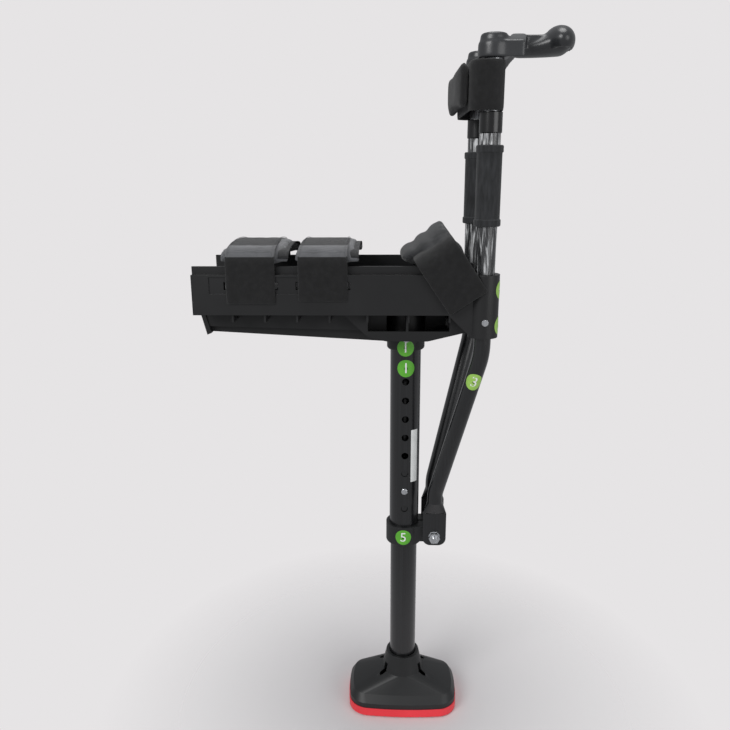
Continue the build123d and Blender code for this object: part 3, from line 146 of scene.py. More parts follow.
def woven(name, dark, light, thread_mm=0.9, relief=0.0003, sheen=0.25):
    """Woven cloth: two sets of threads crossing, under clouds of lint and uneven dye 17 mm across."""
    matt = {"sheen_weight": sheen, "sheen_roughness": 0.5, "specular_ior_level": 0.25}
    made, tree, shader, where = surface(name, **matt)
    sets = []
    for turn in (math.pi / 4, -math.pi / 4):
        spun = add(tree, "ShaderNodeMapping", {"Vector": where}, rotation=(turn, turn, turn)).outputs[0]
        # A wave texture runs through one wave in tau / 20 of its scale
        waves = math.tau / 20 * cells(thread_mm)
        wave = add(tree, "ShaderNodeTexWave", {"Vector": spun}, scale=waves, distortion=1.5, detail=2)
        sets.append(wave.outputs["Fac"])
    crossed = add(tree, "ShaderNodeMath", {0: sets[0], 1: sets[1]}, operation="MULTIPLY").outputs[0]
    cloud = add(tree, "ShaderNodeTexNoise", {"Vector": where}, scale=cells(16.7), detail=5).outputs["Fac"]
    both = add(tree, "ShaderNodeMath", {0: crossed, 1: cloud}, operation="ADD").outputs[0]
    colour = add(tree, "ShaderNodeValToRGB", {"Fac": both}, ((0.35, linear(dark)), (1.0, linear(light))))
    gloss = add(tree, "ShaderNodeMapRange", {"Value": cloud}, to_min=0.75, to_max=0.95)
    weave = add(tree, "ShaderNodeBump", {"Height": both}, distance=relief, strength=1.0)
    feed(tree, shader, colour, roughness=gloss, normal=weave)
    return made


def hook_and_loop(name, dark, light):
    """Loop side of the strap: fibres drawn 0.9 mm thick so that they show, matted in patches 6 mm across."""
    made, tree, shader, where = surface(name, sheen_weight=0.15, sheen_roughness=0.7, specular_ior_level=0.15)
    tangle = {"scale": cells(0.91), "detail": 6, "distortion": 2.0}
    fibre = add(tree, "ShaderNodeTexNoise", {"Vector": where}, **tangle).outputs["Fac"]
    matted = add(tree, "ShaderNodeTexNoise", {"Vector": where}, scale=cells(6.25), detail=4).outputs["Fac"]
    both = add(tree, "ShaderNodeMath", {0: fibre, 1: matted}, operation="MULTIPLY").outputs[0]
    colour = add(tree, "ShaderNodeValToRGB", {"Fac": both}, ((0.16, linear(dark)), (0.42, linear(light))))
    gloss = add(tree, "ShaderNodeMapRange", {"Value": fibre}, to_min=0.85, to_max=1.0)
    nap = add(tree, "ShaderNodeBump", {"Height": both}, distance=0.0007, strength=1.0)
    feed(tree, shader, colour, roughness=gloss, normal=nap)
    return made


def closed_cell_foam(dark, light):
    """Foam sleeve: cells 0.6 mm across, and streaks 3 mm wide and 17 mm long down its length."""
    made, tree, shader, where = surface("closed_cell_foam", sheen_weight=0.2, specular_ior_level=0.2)
    cell = add(tree, "ShaderNodeTexVoronoi", {"Vector": where}, scale=cells(0.625)).outputs["Distance"]
    drawn_out = (cells(3.33), cells(3.33), cells(16.7))
    along = add(tree, "ShaderNodeMapping", {"Vector": where}, vector_type="POINT", scale=drawn_out).outputs[0]
    streak = add(tree, "ShaderNodeTexNoise", {"Vector": along}, scale=1, detail=4).outputs["Fac"]
    colour = add(tree, "ShaderNodeValToRGB", {"Fac": streak}, ((0.3, linear(dark)), (0.75, linear(light))))
    gloss = add(tree, "ShaderNodeMapRange", {"Value": cell}, to_min=0.75, to_max=0.98)
    skin = add(tree, "ShaderNodeBump", {"Height": cell}, distance=0.0002, strength=1.0)
    feed(tree, shader, colour, roughness=gloss, normal=skin)
    return made


def printed_vinyl(name, dark, light):
    """Printed vinyl: one flat ink with clouds of wear 11 mm across, under a thin clear coat."""
    made, tree, shader, where = surface(name, coat_weight=0.3, coat_roughness=0.2)
    cloud = add(tree, "ShaderNodeTexNoise", {"Vector": where}, scale=cells(11.1), detail=3).outputs["Fac"]
    colour = add(tree, "ShaderNodeValToRGB", {"Fac": cloud}, ((0.35, linear(dark)), (0.7, linear(light))))
    gloss = add(tree, "ShaderNodeMapRange", {"Value": cloud}, to_min=0.35, to_max=0.5)
    feed(tree, shader, colour, roughness=gloss)
    return made


def film_with_painted_reflections(dark, light):
    """Shrunk clear wrap: see-through, with white creases 4 mm wide and 45 mm long, which are painted
    reflections.
    """
    made, tree, shader, where = surface("clear_shrink_film", roughness=0.12, specular_ior_level=0.8)
    drawn_out = (cells(3.85), cells(3.85), cells(45.5))
    along = add(tree, "ShaderNodeMapping", {"Vector": where}, vector_type="POINT", scale=drawn_out).outputs[0]
    bent = {"scale": 1, "detail": 5, "distortion": 1.2}
    fold = add(tree, "ShaderNodeTexNoise", {"Vector": along}, **bent).outputs["Fac"]
    # Painted reflections: along the folds the film turns pale and more opaque, standing in for the lights
    # mirrored in its creases
    colour = add(tree, "ShaderNodeValToRGB", {"Fac": fold}, ((0.45, linear(dark)), (0.7, linear(light))))
    thin, full = (0.1, 0.1, 0.1, 1), (0.85, 0.85, 0.85, 1)
    cover = add(tree, "ShaderNodeValToRGB", {"Fac": fold}, ((0.5, thin), (0.66, full)))
    folds = add(tree, "ShaderNodeBump", {"Height": fold}, distance=0.0006, strength=1.0)
    feed(tree, shader, colour, alpha=cover, normal=folds)
    return made


# Moulded ABS with a satin face: an even near-black that catches broad soft light
BODY = moulded("satin_abs_body", "#141415", "#1b1b1c", 0.4)
# The beam's copy of the same ABS is a shade darker than the tray's: painted shade for the part that hangs
# under the tray
BEAM_PAINTED_SHADE = moulded("satin_abs_beam_painted_shade", "#101011", "#161617", 0.44)
# ABS from a spark-eroded mould: duller, with grain that breaks the highlights up
FOOT = moulded("grained_abs_foot", "#151617", "#1e1f20", 0.45, grain_mm=1.43, relief=0.00008)
# Filled nylon from a polished mould: dark grey with long clean highlights
GLOSS = moulded("gloss_nylon_handle", "#2a2b2d", "#343537", 0.32, grain_mm=2, relief=0.00002, spec=0.6)
LOCK = moulded("gloss_nylon_lock", "#0c0c0d", "#141415", 0.22, relief=0.00002, spec=0.6)
# Moulded rubber: full red, half matt
SOLE = moulded("red_rubber_sole", "#e8303c", "#fb3f4a", 0.5, grain_mm=2.5, relief=0.00006)
# Drawn aluminium, anodised black: narrow bright lines down the tube
TUBE = tube_finish("black_anodised_tube", "#0e0e10", "#17181a", 0.27)
# The same tube left bare: pale metal that mirrors the studio
BARE = tube_finish("bare_aluminium_tube", "#b9bbbe", "#dcdde0", 0.25, metal=1.0)
# Zinc-plated steel: small bright glints
STEEL = tube_finish("bright_zinc_steel", "#c4c6ca", "#eceef0", 0.22, metal=1.0)
SPRING = tube_finish("spring_steel", "#8d9096", "#b6b9be", 0.3, metal=1.0)
# Brushed nylon loops: the blackest face, with paler lint and no highlight
STRAP = hook_and_loop("hook_and_loop_strap", "#020203", "#121213")
# Satin lining: grey cloth with a sheen where it turns
LINING = woven("satin_quilt_lining", "#3a3b3d", "#66676a", sheen=0.35)
# Knitted cover: matt dark grey with a coarse thread
PAD = woven("knit_pad_cover", "#18191b", "#2c2d2f", thread_mm=1.2, relief=0.0004)
# Binding tape and sewing thread: a black edge, and grey dashes along it
TRIM = woven("black_binding_tape", "#08080a", "#18191b", thread_mm=0.7)
THREAD = woven("grey_stitch_thread", "#3c3d3f", "#5a5b5d", thread_mm=0.4, relief=0.0001)
# Foam sleeve: soft dark grey with no highlight
FOAM = closed_cell_foam("#242526", "#38393b")
# Thin clear wrap: white creases over the black tube, which are painted reflections of the lights on its folds
FILM_PAINTED_REFLECTIONS = film_with_painted_reflections("#9a9c9e", "#f4f5f6")
# Vinyl stickers: the only bright colours above the foot
GREEN_DARK = printed_vinyl("green_vinyl_dark", "#58ad2c", "#66ba34")
GREEN_PALE = printed_vinyl("green_vinyl_pale", "#98cc55", "#abd468")
WHITE = printed_vinyl("white_vinyl", "#eceeec", "#fbfcfb")

for group, made in (
    (("foot_sole",), SOLE), (("foot_shell", "foot_plug"), FOOT), (("tube_clamp",), FOOT),
    (("lower_tube", "outer_tube", "strut_right", "strut_left", "thigh_tube_right", "thigh_tube_left"), TUBE),
    (("upper_tube_right", "upper_tube_left"), BARE),
    (("leg_button", "boss_button", "foot_bolt", "clamp_bolt", "clamp_nut"), STEEL),
    (("clamp_washers", "beam_screws", "socket_screws"), STEEL),
    (("leg_button_spring", "boss_button_spring"), SPRING), (("tray_beam",), BEAM_PAINTED_SHADE), (("knee_tray",), BODY),
    (("twist_lock_right", "twist_lock_left", "lock_collet_right", "lock_collet_left"), LOCK),
    (("foam_grip_right", "foam_grip_left"), FOAM), (("handle",), GLOSS),
):
    for name in group:
        nodes[name].data.materials.clear()
        nodes[name].data.materials.append(made)


# Mesh helpers
def mesh_object(name, body, verts, faces, made):
    """A new smooth piece from its points and faces, riding on a body."""
    data = bpy.data.meshes.new(name)
    data.from_pydata([tuple(v) for v in verts], [], faces)
    data.update()
    piece = bpy.data.objects.new(name, data)
    scene.collection.objects.link(piece)
    data.materials.append(made)
    data.polygons.foreach_set("use_smooth", [True] * len(data.polygons))
    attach(piece, body)
    return piece


def settle(piece):
    """Apply every modifier of a piece, with its normals outward."""
    flat = bpy.data.meshes.new_from_object(piece.evaluated_get(bpy.context.evaluated_depsgraph_get()))
    piece.modifiers.clear()
    piece.data = flat
    work = bmesh.new()
    work.from_mesh(flat)
    bmesh.ops.recalc_face_normals(work, faces=work.faces)
    work.to_mesh(flat)
    work.free()
    flat.polygons.foreach_set("use_smooth", [True] * len(flat.polygons))
    return piece


def modifier(piece, kind, **values):
    """A modifier with its settings."""
    made = piece.modifiers.new(kind.title(), kind)
    for key, value in values.items():
        setattr(made, key, value)
    return made


def grid_faces(columns, rows, wrap=False):
    """Faces of a grid of points stored row by row; wrap joins each row's ends."""
    faces = []
    for r in range(rows - 1):
        for c in range(columns if wrap else columns - 1):
            d = (c + 1) % columns
            faces.append((r * columns + c, r * columns + d, (r + 1) * columns + d, (r + 1) * columns + c))
    return faces


def arch_line(half, crest, bottom):
    """The side-to-side line of an arch, from one lower end to the other, as (across, up) pairs."""
    # A straight side, a round shoulder that stops short of a quarter turn, then a shallow crown
    steps, corner = 14, BAND_CORNER
    shoulder = crest - BAND_CROWN
    points = [(-half, bottom + (shoulder - corner - bottom) * i / steps) for i in range(steps)]
    for i in range(steps + 1):
        turn = math.pi - math.pi / 2 * i / steps * 0.86
        up = shoulder - corner * 0.55 + corner * math.sin(turn)
        points.append((-half + corner + corner * math.cos(turn), up))
    start = points[-1]
    for i in range(1, 2 * steps):
        across = start[0] * (1 - i / steps)
        points.append((across, start[1] + (crest - start[1]) * (1 - (across / start[0]) ** 2)))
    return points + [(-a, u) for a, u in reversed(points[:2 * steps + 1])]


def puffed(node, name, body, made, voxel, pressure, cap, shrink=0.0015):
    """A cushion grown from its plain solid: remeshed, swollen by cloth pressure, never past a cap."""
    data = nodes[node].data.copy()
    piece = bpy.data.objects.new(name, data)
    scene.collection.objects.link(piece)
    data.materials.clear()
    data.materials.append(made)
    modifier(piece, "WELD", merge_threshold=0.00001)
    modifier(piece, "REMESH", mode="VOXEL", voxel_size=voxel)
    settle(piece)
    rest = []
    for vert in piece.data.vertices:
        vert.co -= vert.normal * shrink
        rest.append(vert.co.copy())
    cloth = modifier(piece, "CLOTH")
    cloth.settings.use_pressure = True
    cloth.settings.uniform_pressure_force = pressure
    cloth.settings.effector_weights.gravity = 0
    cloth.settings.tension_stiffness = 18
    cloth.settings.compression_stiffness = 18
    for step in range(1, 21):
        scene.frame_set(step)
    settle(piece)
    scene.frame_set(1)
    for vert, start in zip(piece.data.vertices, rest):
        move = vert.co - start
        if move.length > cap:
            vert.co = start + move.normalized() * cap
    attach(piece, body)
    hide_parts(node)
    return piece


def sew(piece, seams, depth, width):
    """Press sewn channels into a pad: seams are functions giving each point's distance to its line."""
    for vert in piece.data.vertices:
        near = min(abs(seam(vert.co)) for seam in seams)
        vert.co -= vert.normal * depth * math.exp(-(near / width) ** 2)


def crease(piece, size, depth, seed):
    """Low random folds, the same each run."""
    shift = Vector((seed, seed * 0.37, seed * 0.71))
    for vert in piece.data.vertices:
        vert.co += vert.normal * depth * noise.noise(vert.co / size + shift)


def smooth_up(piece):
    """One more level of subdivision, applied."""
    modifier(piece, "SUBSURF", levels=1, render_levels=1)
    return settle(piece)


# Straps over the shin and knee: flat webbing with thinner edges and low waves, bent over the pads
def strap(name, node, body, place, width, line, waves_from=0.0):
    """Webbing along a line of (across, up) pairs; place turns (along, across, up) into a point.

    waves_from shifts its low waves, so that no two bands share them.
    """
    rows, columns = len(line), 18
    layers = []
    for side in (0, 1):
        verts = []
        for i, (across, up) in enumerate(line):
            before, after = line[max(i - 1, 0)], line[min(i + 1, rows - 1)]
            run = Vector((after[0] - before[0], after[1] - before[1])).normalized()
            out = Vector((-run[1], run[0]))
            for c in range(columns):
                # The outer tenth of each side is pressed thinner, and low waves run over the whole band
                share = c / (columns - 1) * 2 - 1
                edge = max(0.0, (abs(share) - 0.9) / 0.1)
                wave = noise.noise(Vector((c * 0.35, i * 0.16, waves_from * 1000))) * 0.0004
                high = side * WEBBING_T - edge * edge * WEBBING_T * (0.35 if side else -0.15) + wave
                verts.append(place(share * width / 2, across + out[0] * high, up + out[1] * high))
        layers.append(verts)
    count = columns * rows
    faces = grid_faces(columns, rows)
    lower = [tuple(reversed(f)) for f in faces]
    upper = [tuple(v + count for v in f) for f in faces]
    rim = list(range(columns))
    rim += [r * columns + columns - 1 for r in range(1, rows)]
    rim += [(rows - 1) * columns + c for c in range(columns - 2, -1, -1)]
    rim += [r * columns for r in range(rows - 2, 0, -1)]
    walls = [(a, b, b + count, a + count) for a, b in zip(rim, rim[1:] + rim[:1])]
    piece = mesh_object(name, body, layers[0] + layers[1], lower + upper + walls, STRAP)
    smooth_up(piece)
    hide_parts(node)
    return piece


def shin_place(middle):
    """Points of a strap that lies across the shin at one place along it."""
    return lambda along, across, up: Vector((middle + along, across, up))


def knee_place(along, across, up):
    """Points of the strap that leans back over the knee."""
    return KNEE_FOOT + LEAN_OUT * along + Vector((0, across, 0)) + LEAN_UP * up


shin_rear = strap(
    "shin_webbing_rear", "shin_strap_rear", "tray_frame", shin_place(REAR_BAND_X), SHIN_BAND_WIDTH,
    arch_line(SHIN_BAND_HALF, SHIN_CREST, REAR_BAND_FOOT)
)
shin_front = strap(
    "shin_webbing_front", "shin_strap_front", "tray_frame", shin_place(FRONT_BAND_X), SHIN_BAND_WIDTH,
    arch_line(SHIN_BAND_HALF, SHIN_CREST, FRONT_BAND_FOOT), waves_from=3
)
# The pads' satin runs over each strap's top, with a black strip along its crest
for band in (shin_rear, shin_front):
    band.data.materials.append(LINING)
    band.data.materials.append(TRIM)
    for face in band.data.polygons:
        if face.center.z > BLACK_STRIP_LOW:
            face.material_index = 2
        elif face.center.z > SATIN_LOW:
            face.material_index = 1

strap("knee_webbing", "knee_strap", "tray_frame", knee_place, KNEE_BAND_WIDTH,
      arch_line(KNEE_BAND_HALF, KNEE_CREST, 0.0), waves_from=7)

# Pads under the straps, cushions in the trough
for name, middle in (("shin_pad_rear", REAR_PAD_X), ("shin_pad_front", FRONT_PAD_X)):
    pad = puffed(name, name.replace("pad", "quilt"), "tray_frame", LINING, voxel=0.004, pressure=5, cap=0.003)
    sew(pad, [lambda p, m=middle, k=k: p.x - m - k * QUILT_PITCH for k in (-2, -1, 0, 1, 2)],
        depth=0.0012, width=0.002)
    crease(pad, size=0.02, depth=0.0012, seed=3)
    smooth_up(pad)

knee_pad = puffed("knee_strap_pad", "knee_quilt", "tray_frame", PAD,
                  voxel=0.005, pressure=6, cap=0.008, shrink=-0.001)
modifier(knee_pad, "SMOOTH", factor=0.5, iterations=14)
settle(knee_pad)
# The strap holds the knee pad's crown down
for vert in knee_pad.data.vertices:
    rise = (vert.co - KNEE_FOOT).dot(LEAN_UP) - KNEE_PAD_TOP
    if rise > 0:
        vert.co -= LEAN_UP * rise * KNEE_PAD_SQUASH
sew(knee_pad, [lambda p, k=k: (p - KNEE_FOOT).dot(LEAN_OUT) - k for k in (-0.016, 0.004)],
    depth=0.003, width=0.004)
crease(knee_pad, size=0.045, depth=0.0012, seed=5)
smooth_up(knee_pad)

thigh_pad = puffed("thigh_pad", "thigh_cushion", "handle_frame", STRAP, voxel=0.004, pressure=4, cap=0.003)
smooth_up(thigh_pad)

for name in ("shin_cushion", "knee_cushion"):
    pad = puffed(name, name + "_cover", "tray_frame", PAD, voxel=0.005, pressure=4, cap=0.002)
    sew(pad, [lambda p, k=k: p.x - k * CUSHION_PITCH for k in (-4, -3, -2, -1)], depth=0.001, width=0.002)
    smooth_up(pad)


# Binding tape along the front and rear edges of the shin pads' crests
def tape(name, middle, width):
    """A thin strip of binding over the crest of a pad."""
    crest = [(a, u) for a, u in arch_line(half=0.0655, crest=0.6412, bottom=0.62) if u > 0.628]
    rows, columns = len(crest), 5
    verts = []
    for side in (TAPE_T, 0):
        for across, up in crest:
            for c in range(columns):
                verts.append(Vector((middle + width * (c / (columns - 1) - 0.5), across, up + side)))
    total = rows * columns
    top = grid_faces(columns, rows)
    under = [tuple(v + total for v in reversed(f)) for f in top]
    piece = mesh_object(name, "tray_frame", verts, top + under, TRIM)


tape("binding_rear", middle=-0.141, width=0.012)
tape("binding_front", middle=-0.0605, width=0.010)


# Stitches: short raised threads instanced along each sewn line
def stitch_tree():
    """Geometry Nodes: a short round of thread on each point of a resampled line."""
    tree = bpy.data.node_groups.new("stitch_row", "GeometryNodeTree")
    tree.is_modifier = True
    face = tree.interface
    face.new_socket("Geometry", in_out="INPUT", socket_type="NodeSocketGeometry")
    face.new_socket("Pitch", in_out="INPUT", socket_type="NodeSocketFloat")
    face.new_socket("Stitch Length", in_out="INPUT", socket_type="NodeSocketFloat")
    face.new_socket("Thread Radius", in_out="INPUT", socket_type="NodeSocketFloat")
    face.new_socket("Thread", in_out="INPUT", socket_type="NodeSocketMaterial")
    face.new_socket("Geometry", in_out="OUTPUT", socket_type="NodeSocketGeometry")
    given = add(tree, "NodeGroupInput")
    line = add(tree, "GeometryNodeMeshToCurve", {"Mesh": given.outputs["Geometry"]})
    spacing = {"Curve": line.outputs[0], "Length": given.outputs["Pitch"]}
    spots = add(tree, "GeometryNodeResampleCurve", spacing, mode="LENGTH")
    points = add(tree, "GeometryNodeCurveToPoints", {"Curve": spots.outputs[0]}, mode="EVALUATED")
    size = {"Radius": given.outputs["Thread Radius"], "Depth": given.outputs["Stitch Length"]}
    thread = add(tree, "GeometryNodeMeshCylinder", size, vertices=8)
    each = add(tree, "GeometryNodeInstanceOnPoints", {
        "Points": points.outputs["Points"], "Instance": thread.outputs["Mesh"],
        "Rotation": points.outputs["Rotation"]
    })
    real = add(tree, "GeometryNodeRealizeInstances", {"Geometry": each.outputs[0]})
    dye = {"Geometry": real.outputs[0], "Material": given.outputs["Thread"]}
    dyed = add(tree, "GeometryNodeSetMaterial", dye)
    add(tree, "NodeGroupOutput", {"Geometry": dyed.outputs[0]})
    return tree


STITCH_ROW = stitch_tree()


def stitches(name, body, points):
    """One sewn line through the given points."""
    data = bpy.data.meshes.new(name)
    data.from_pydata([tuple(p) for p in points], [(i, i + 1) for i in range(len(points) - 1)], [])
    piece = bpy.data.objects.new(name, data)
    scene.collection.objects.link(piece)
    row = modifier(piece, "NODES", node_group=STITCH_ROW)
    ids = {item.name: item.identifier for item in STITCH_ROW.interface.items_tree if item.in_out == "INPUT"}
    row[ids["Pitch"]] = STITCH_PITCH
    row[ids["Stitch Length"]] = STITCH_LENGTH
    row[ids["Thread Radius"]] = STITCH_R
    row[ids["Thread"]] = THREAD
    settle(piece)
    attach(piece, body)


for name, middle in (("stitches_rear", REAR_BAND_X), ("stitches_front", FRONT_BAND_X)):
    place = shin_place(middle)
    sewn = [(a, u) for a, u in arch_line(SHIN_BAND_HALF, SHIN_CREST, 0.586) if u > STITCH_LOW]
    for end, side in (("fore", 1), ("aft", -1)):
        stitches(f"{name}_{end}", "tray_frame",
                 [place(side * STITCH_OUT, a * STITCH_WIDEN, u + WEBBING_T + 2 * STITCH_R) for a, u in sewn])

# Handle: the moulding's hard steps melted together, over a neck that thickens towards the knob
handle_skin = bpy.data.objects.new("handle_skin", nodes["handle"].data.copy())
scene.collection.objects.link(handle_skin)
bulk = bmesh.new()
bulk.from_mesh(handle_skin.data)
for step in range(NECK_STEPS + 1):
    share = step / NECK_STEPS
    swell = share * share
    middle = (NECK_X + NECK_RUN * share, 0, NECK_Z + NECK_RISE * swell)
    reach = (NECK_HALF, NECK_HALF + NECK_WIDEN * swell, NECK_DEEP + NECK_DEEPEN * swell)
    shape = Matrix.Translation(middle) @ Matrix.Diagonal((*reach, 1))
    bmesh.ops.create_uvsphere(bulk, u_segments=32, v_segments=20, radius=1, matrix=shape)
bulk.to_mesh(handle_skin.data)
bulk.free()
modifier(handle_skin, "WELD", merge_threshold=0.00001)
modifier(handle_skin, "REMESH", mode="VOXEL", voxel_size=0.0012)
modifier(handle_skin, "SMOOTH", factor=0.5, iterations=24)
settle(handle_skin)
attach(handle_skin, "handle_frame")
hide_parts("handle")


# Thigh strap: a closed loop of the same webbing
def loop_line(x0, x1, half, corner):
    """Points round a rounded rectangle seen from above, in order."""
    points, steps = [], 10
    for cx, cy, first in ((x1 - corner, half - corner, 0), (x0 + corner, half - corner, 90),
                          (x0 + corner, corner - half, 180), (x1 - corner, corner - half, 270)):
        for i in range(steps + 1):
            turn = math.radians(first + 90 * i / steps)
            points.append((cx + corner * math.cos(turn), cy + corner * math.sin(turn)))
    return points


def webbing_loop(name, node, body, line, bottom, height):
    """A standing loop of webbing with soft edges."""
    count, rows = len(line), 14
    verts = []
    for side in (1, 0):
        for r in range(rows):
            share = r / (rows - 1) * 2 - 1
            edge = max(0.0, (abs(share) - 0.85) / 0.15)
            for i, (x, y) in enumerate(line):
                before, after = line[i - 1], line[(i + 1) % count]
                run = Vector((after[0] - before[0], after[1] - before[1])).normalized()
                out = Vector((run[1], -run[0]))
                deep = (0 if side else WEBBING_T) + edge * edge * WEBBING_T * (0.3 if side else -0.3)
                up = bottom + height * (share + 1) / 2
                verts.append(Vector((x - out[0] * deep, y - out[1] * deep, up)))
    total = count * rows
    outer = grid_faces(count, rows, wrap=True)
    inner = [tuple(v + total for v in reversed(f)) for f in outer]
    rims = []
    for base in (0, (rows - 1) * count):
        for c in range(count):
            d = (c + 1) % count
            rims.append((base + c, base + d, base + d + total, base + c + total))
    piece = mesh_object(name, body, verts, outer + inner + rims, STRAP)
    smooth_up(piece)
    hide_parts(node)


webbing_loop("thigh_webbing", "thigh_strap", "handle_frame",
             loop_line(x0=0.0615, x1=0.0992, half=0.076, corner=0.016), bottom=0.7846, height=0.05)


# Clear film on the thigh tubes: creased down its length
def film(name, node, y, seed):
    """A creased sleeve round one upright."""
    low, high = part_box(node)
    rows, columns = 60, 48
    radius = (high.x - low.x) / 2
    verts = []
    for r in range(rows):
        z = low.z + (high.z - low.z) * r / (rows - 1)
        for c in range(columns):
            turn = math.tau * c / columns
            # Loose folds 0.4 mm high, and nine fine ones of 0.2 mm that wind slowly round the tube
            fold = noise.noise(Vector((math.cos(turn) * 2.2, math.sin(turn) * 2.2, z * 18 + seed)))
            reach = radius + 0.0004 * fold + 0.0002 * math.sin(turn * 9 + z * 40)
            verts.append(Vector((POST_X + reach * math.cos(turn), y + reach * math.sin(turn), z)))
    piece = mesh_object(name, "tray_frame", verts, grid_faces(columns, rows, wrap=True), FILM_PAINTED_REFLECTIONS)
    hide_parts(node)


film("film_wrap_right", "film_right", -POST_Y, 1.0)
film("film_wrap_left", "film_left", POST_Y, 7.0)


# Stickers: round vinyl with plain numbers, and one blank label
def round_place(x, y, radius, facing, z):
    """Wrap flat sticker points (side, up, out) round an upright cylinder, facing an angle in degrees."""
    def place(side, up, out):
        turn = math.radians(facing) + side / radius
        return Vector((x + (radius + out) * math.cos(turn), y + (radius + out) * math.sin(turn), z + up))
    return place


def sticker(name, body, place, radius, made, number):
    """A round sticker and its number, wrapped onto the surface that carries it."""
    rings, spokes = 6, 40
    verts = [place(0, 0, STICKER_LIFT)]
    for r in range(1, rings + 1):
        for s in range(spokes):
            turn = math.tau * s / spokes
            reach = radius * r / rings
            lift = STICKER_LIFT if r < rings else STICKER_EDGE_LIFT
            verts.append(place(reach * math.cos(turn), reach * math.sin(turn), lift))
    faces = [(0, 1 + s, 1 + (s + 1) % spokes) for s in range(spokes)]
    faces += [tuple(v + 1 for v in f) for f in grid_faces(spokes, rings, wrap=True)]
    piece = mesh_object(name, body, verts, faces, made)
    curve = bpy.data.curves.new(name + "_figure", "FONT")
    curve.body = number
    curve.size = radius * 1.7
    curve.align_x = "CENTER"
    curve.align_y = "CENTER"
    carrier = bpy.data.objects.new(name + "_figure", curve)
    scene.collection.objects.link(carrier)
    flat = bpy.data.meshes.new_from_object(carrier.evaluated_get(bpy.context.evaluated_depsgraph_get()))
    bpy.data.objects.remove(carrier)
    figure_verts = [place(v.co.x, v.co.y, FIGURE_LIFT) for v in flat.vertices]
    figure_faces = [tuple(p.vertices) for p in flat.polygons]
    figure = mesh_object(name + "_number", body, figure_verts, figure_faces, WHITE)


# Each place gives the tube's axis and radius, the side that the sticker faces in degrees, and its height
for name, place, radius, ink, number in (
    ("sticker_boss", round_place(0, 0, BOSS_R, -92, 0.516), STICKER_R, GREEN_DARK, "1"),
    ("sticker_tube", round_place(0, 0, LEG_R, -90, 0.489), 0.011, GREEN_DARK, "1"),
    ("sticker_clamp", round_place(0, 0, BOSS_R, -93, 0.2605), STICKER_R, GREEN_DARK, "5"),
    ("sticker_socket_top", round_place(POST_X, -POST_Y, SOCKET_R, -12, 0.594), STICKER_R, GREEN_PALE, "4"),
    ("sticker_socket_low", round_place(POST_X, -POST_Y, SOCKET_R, -12, 0.553), STICKER_R, GREEN_PALE, "3"),
):
    sticker(name, "tray_frame", place, radius, ink, number)

# Strut sticker: wrapped round the slanted tube
strut_top, strut_foot = Vector((POST_X, -POST_Y, 0.517)), Vector((0.039, -0.0221, 0.324))
strut_axis = (strut_top - strut_foot).normalized()
strut_side = strut_axis.cross(Vector((0, -1, 0))).normalized()
strut_front = strut_side.cross(strut_axis).normalized()
strut_mid = strut_foot + strut_axis * ((STRUT_STICKER_Z - strut_foot.z) / strut_axis.z)


def strut_place(side, up, out):
    """Wrap sticker points round the near strut."""
    turn = side / STRUT_R
    around = strut_front * math.cos(turn) + strut_side * math.sin(turn)
    return strut_mid + strut_axis * up + around * (STRUT_R + out)


sticker("sticker_strut", "tray_frame", strut_place, STICKER_R, GREEN_PALE, "3")

label_place = round_place(0, 0, LEG_R, -52, 0.3725)
label_verts = [label_place(LABEL_WIDE * (c / 8 - 0.5), LABEL_HIGH * (r / 12 - 0.5), LABEL_LIFT)
               for r in range(13) for c in range(9)]
label = mesh_object("blank_label", "tray_frame", label_verts, grid_faces(9, 13), WHITE)

# Floor, light and camera
FLOOR_R, FLOOR_SIDES = 3, 96
turns = [math.tau * i / FLOOR_SIDES for i in range(FLOOR_SIDES)]
floor_mesh = bpy.data.meshes.new("studio_floor")
floor_mesh.from_pydata([(math.cos(t) * FLOOR_R, math.sin(t) * FLOOR_R, 0) for t in turns], [],
                       [tuple(range(FLOOR_SIDES))])
floor = bpy.data.objects.new("studio_floor", floor_mesh)
scene.collection.objects.link(floor)
# Paper: pale and matt under the foot, and thinning out so that only the foot's shadow shows
paper, tree, shader, where = surface("pale_paper_floor", roughness=0.9, specular_ior_level=0.1)
shader.inputs["Base Color"].default_value = linear("#d3d1d2")
far = add(tree, "ShaderNodeVectorMath", {0: where}, operation="LENGTH").outputs["Value"]
fade = add(tree, "ShaderNodeValToRGB", {"Fac": far}, ((0.1, (1, 1, 1, 1)), (0.42, (0, 0, 0, 1))))
tree.links.new(fade.outputs["Color"], shader.inputs["Alpha"])
floor_mesh.materials.append(paper)

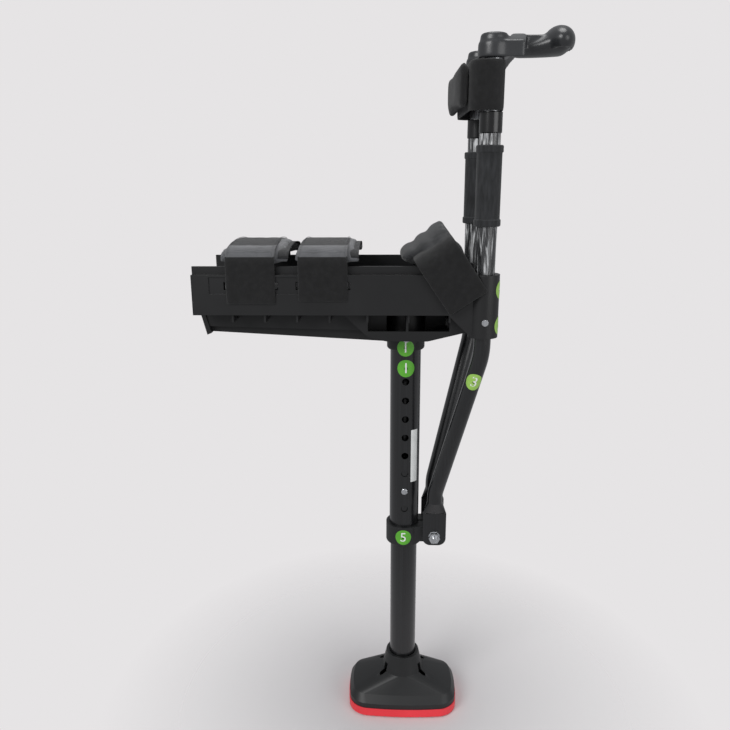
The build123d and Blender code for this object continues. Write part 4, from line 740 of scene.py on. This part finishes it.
# Studio: the camera sees a pale even backdrop, and a dimmer one lights the piece
world = bpy.data.worlds.new("studio")
scene.world = world
world.use_nodes = True
tree = world.node_tree
back = tree.nodes["Background"]
ray = add(tree, "ShaderNodeLightPath")
seen = add(tree, "ShaderNodeBackground", color=linear("#e6e4e5"), strength=1.0)
back.inputs["Color"].default_value = linear("#f2f3f6")
back.inputs["Strength"].default_value = 0.42
parts = {0: ray.outputs["Is Camera Ray"], 1: back.outputs[0], 2: seen.outputs[0]}
blend = add(tree, "ShaderNodeMixShader", parts)
tree.links.new(blend.outputs[0], tree.nodes["World Output"].inputs["Surface"])

for name, place, aim, size, power in (
    ("key", (-1.3, -1.5, 1.7), (0, 0, 0.5), 1.2, 26),
    ("fill", (1.4, -1.4, 1.0), (0, 0, 0.5), 1.4, 10),
    ("top", (0.1, 0.1, 2.4), (0, 0, 0.5), 1.2, 16),
):
    data = bpy.data.lights.new(name, "AREA")
    data.shape = "DISK"
    data.size = size
    data.energy = power
    lamp = bpy.data.objects.new(name, data)
    scene.collection.objects.link(lamp)
    lamp.location = place
    lamp.rotation_euler = (Vector(aim) - Vector(place)).to_track_quat("-Z", "Y").to_euler()

# Camera fitted to the photograph's edges
YAW, PITCH, ROLL, LENS_MM = -0.0315, 0.264, -0.0045, 34.77
EYE = (-0.02399, -0.857, 0.72012)
ahead = Vector((math.sin(YAW) * math.cos(PITCH), math.cos(YAW) * math.cos(PITCH), -math.sin(PITCH)))
level = Vector((math.cos(YAW), -math.sin(YAW), 0))
upward = level.cross(ahead)
right = level * math.cos(ROLL) + upward * math.sin(ROLL)
upward = upward * math.cos(ROLL) - level * math.sin(ROLL)
eye = bpy.data.cameras.new("photo_camera")
eye.lens = LENS_MM
eye.sensor_width = 36
eye.clip_end = 20
camera = bpy.data.objects.new("photo_camera", eye)
scene.collection.objects.link(camera)
turned = Matrix((right, upward, -ahead)).transposed().to_4x4()
turned.translation = EYE
camera.matrix_world = turned
scene.camera = camera
scene.view_settings.view_transform = "Standard"
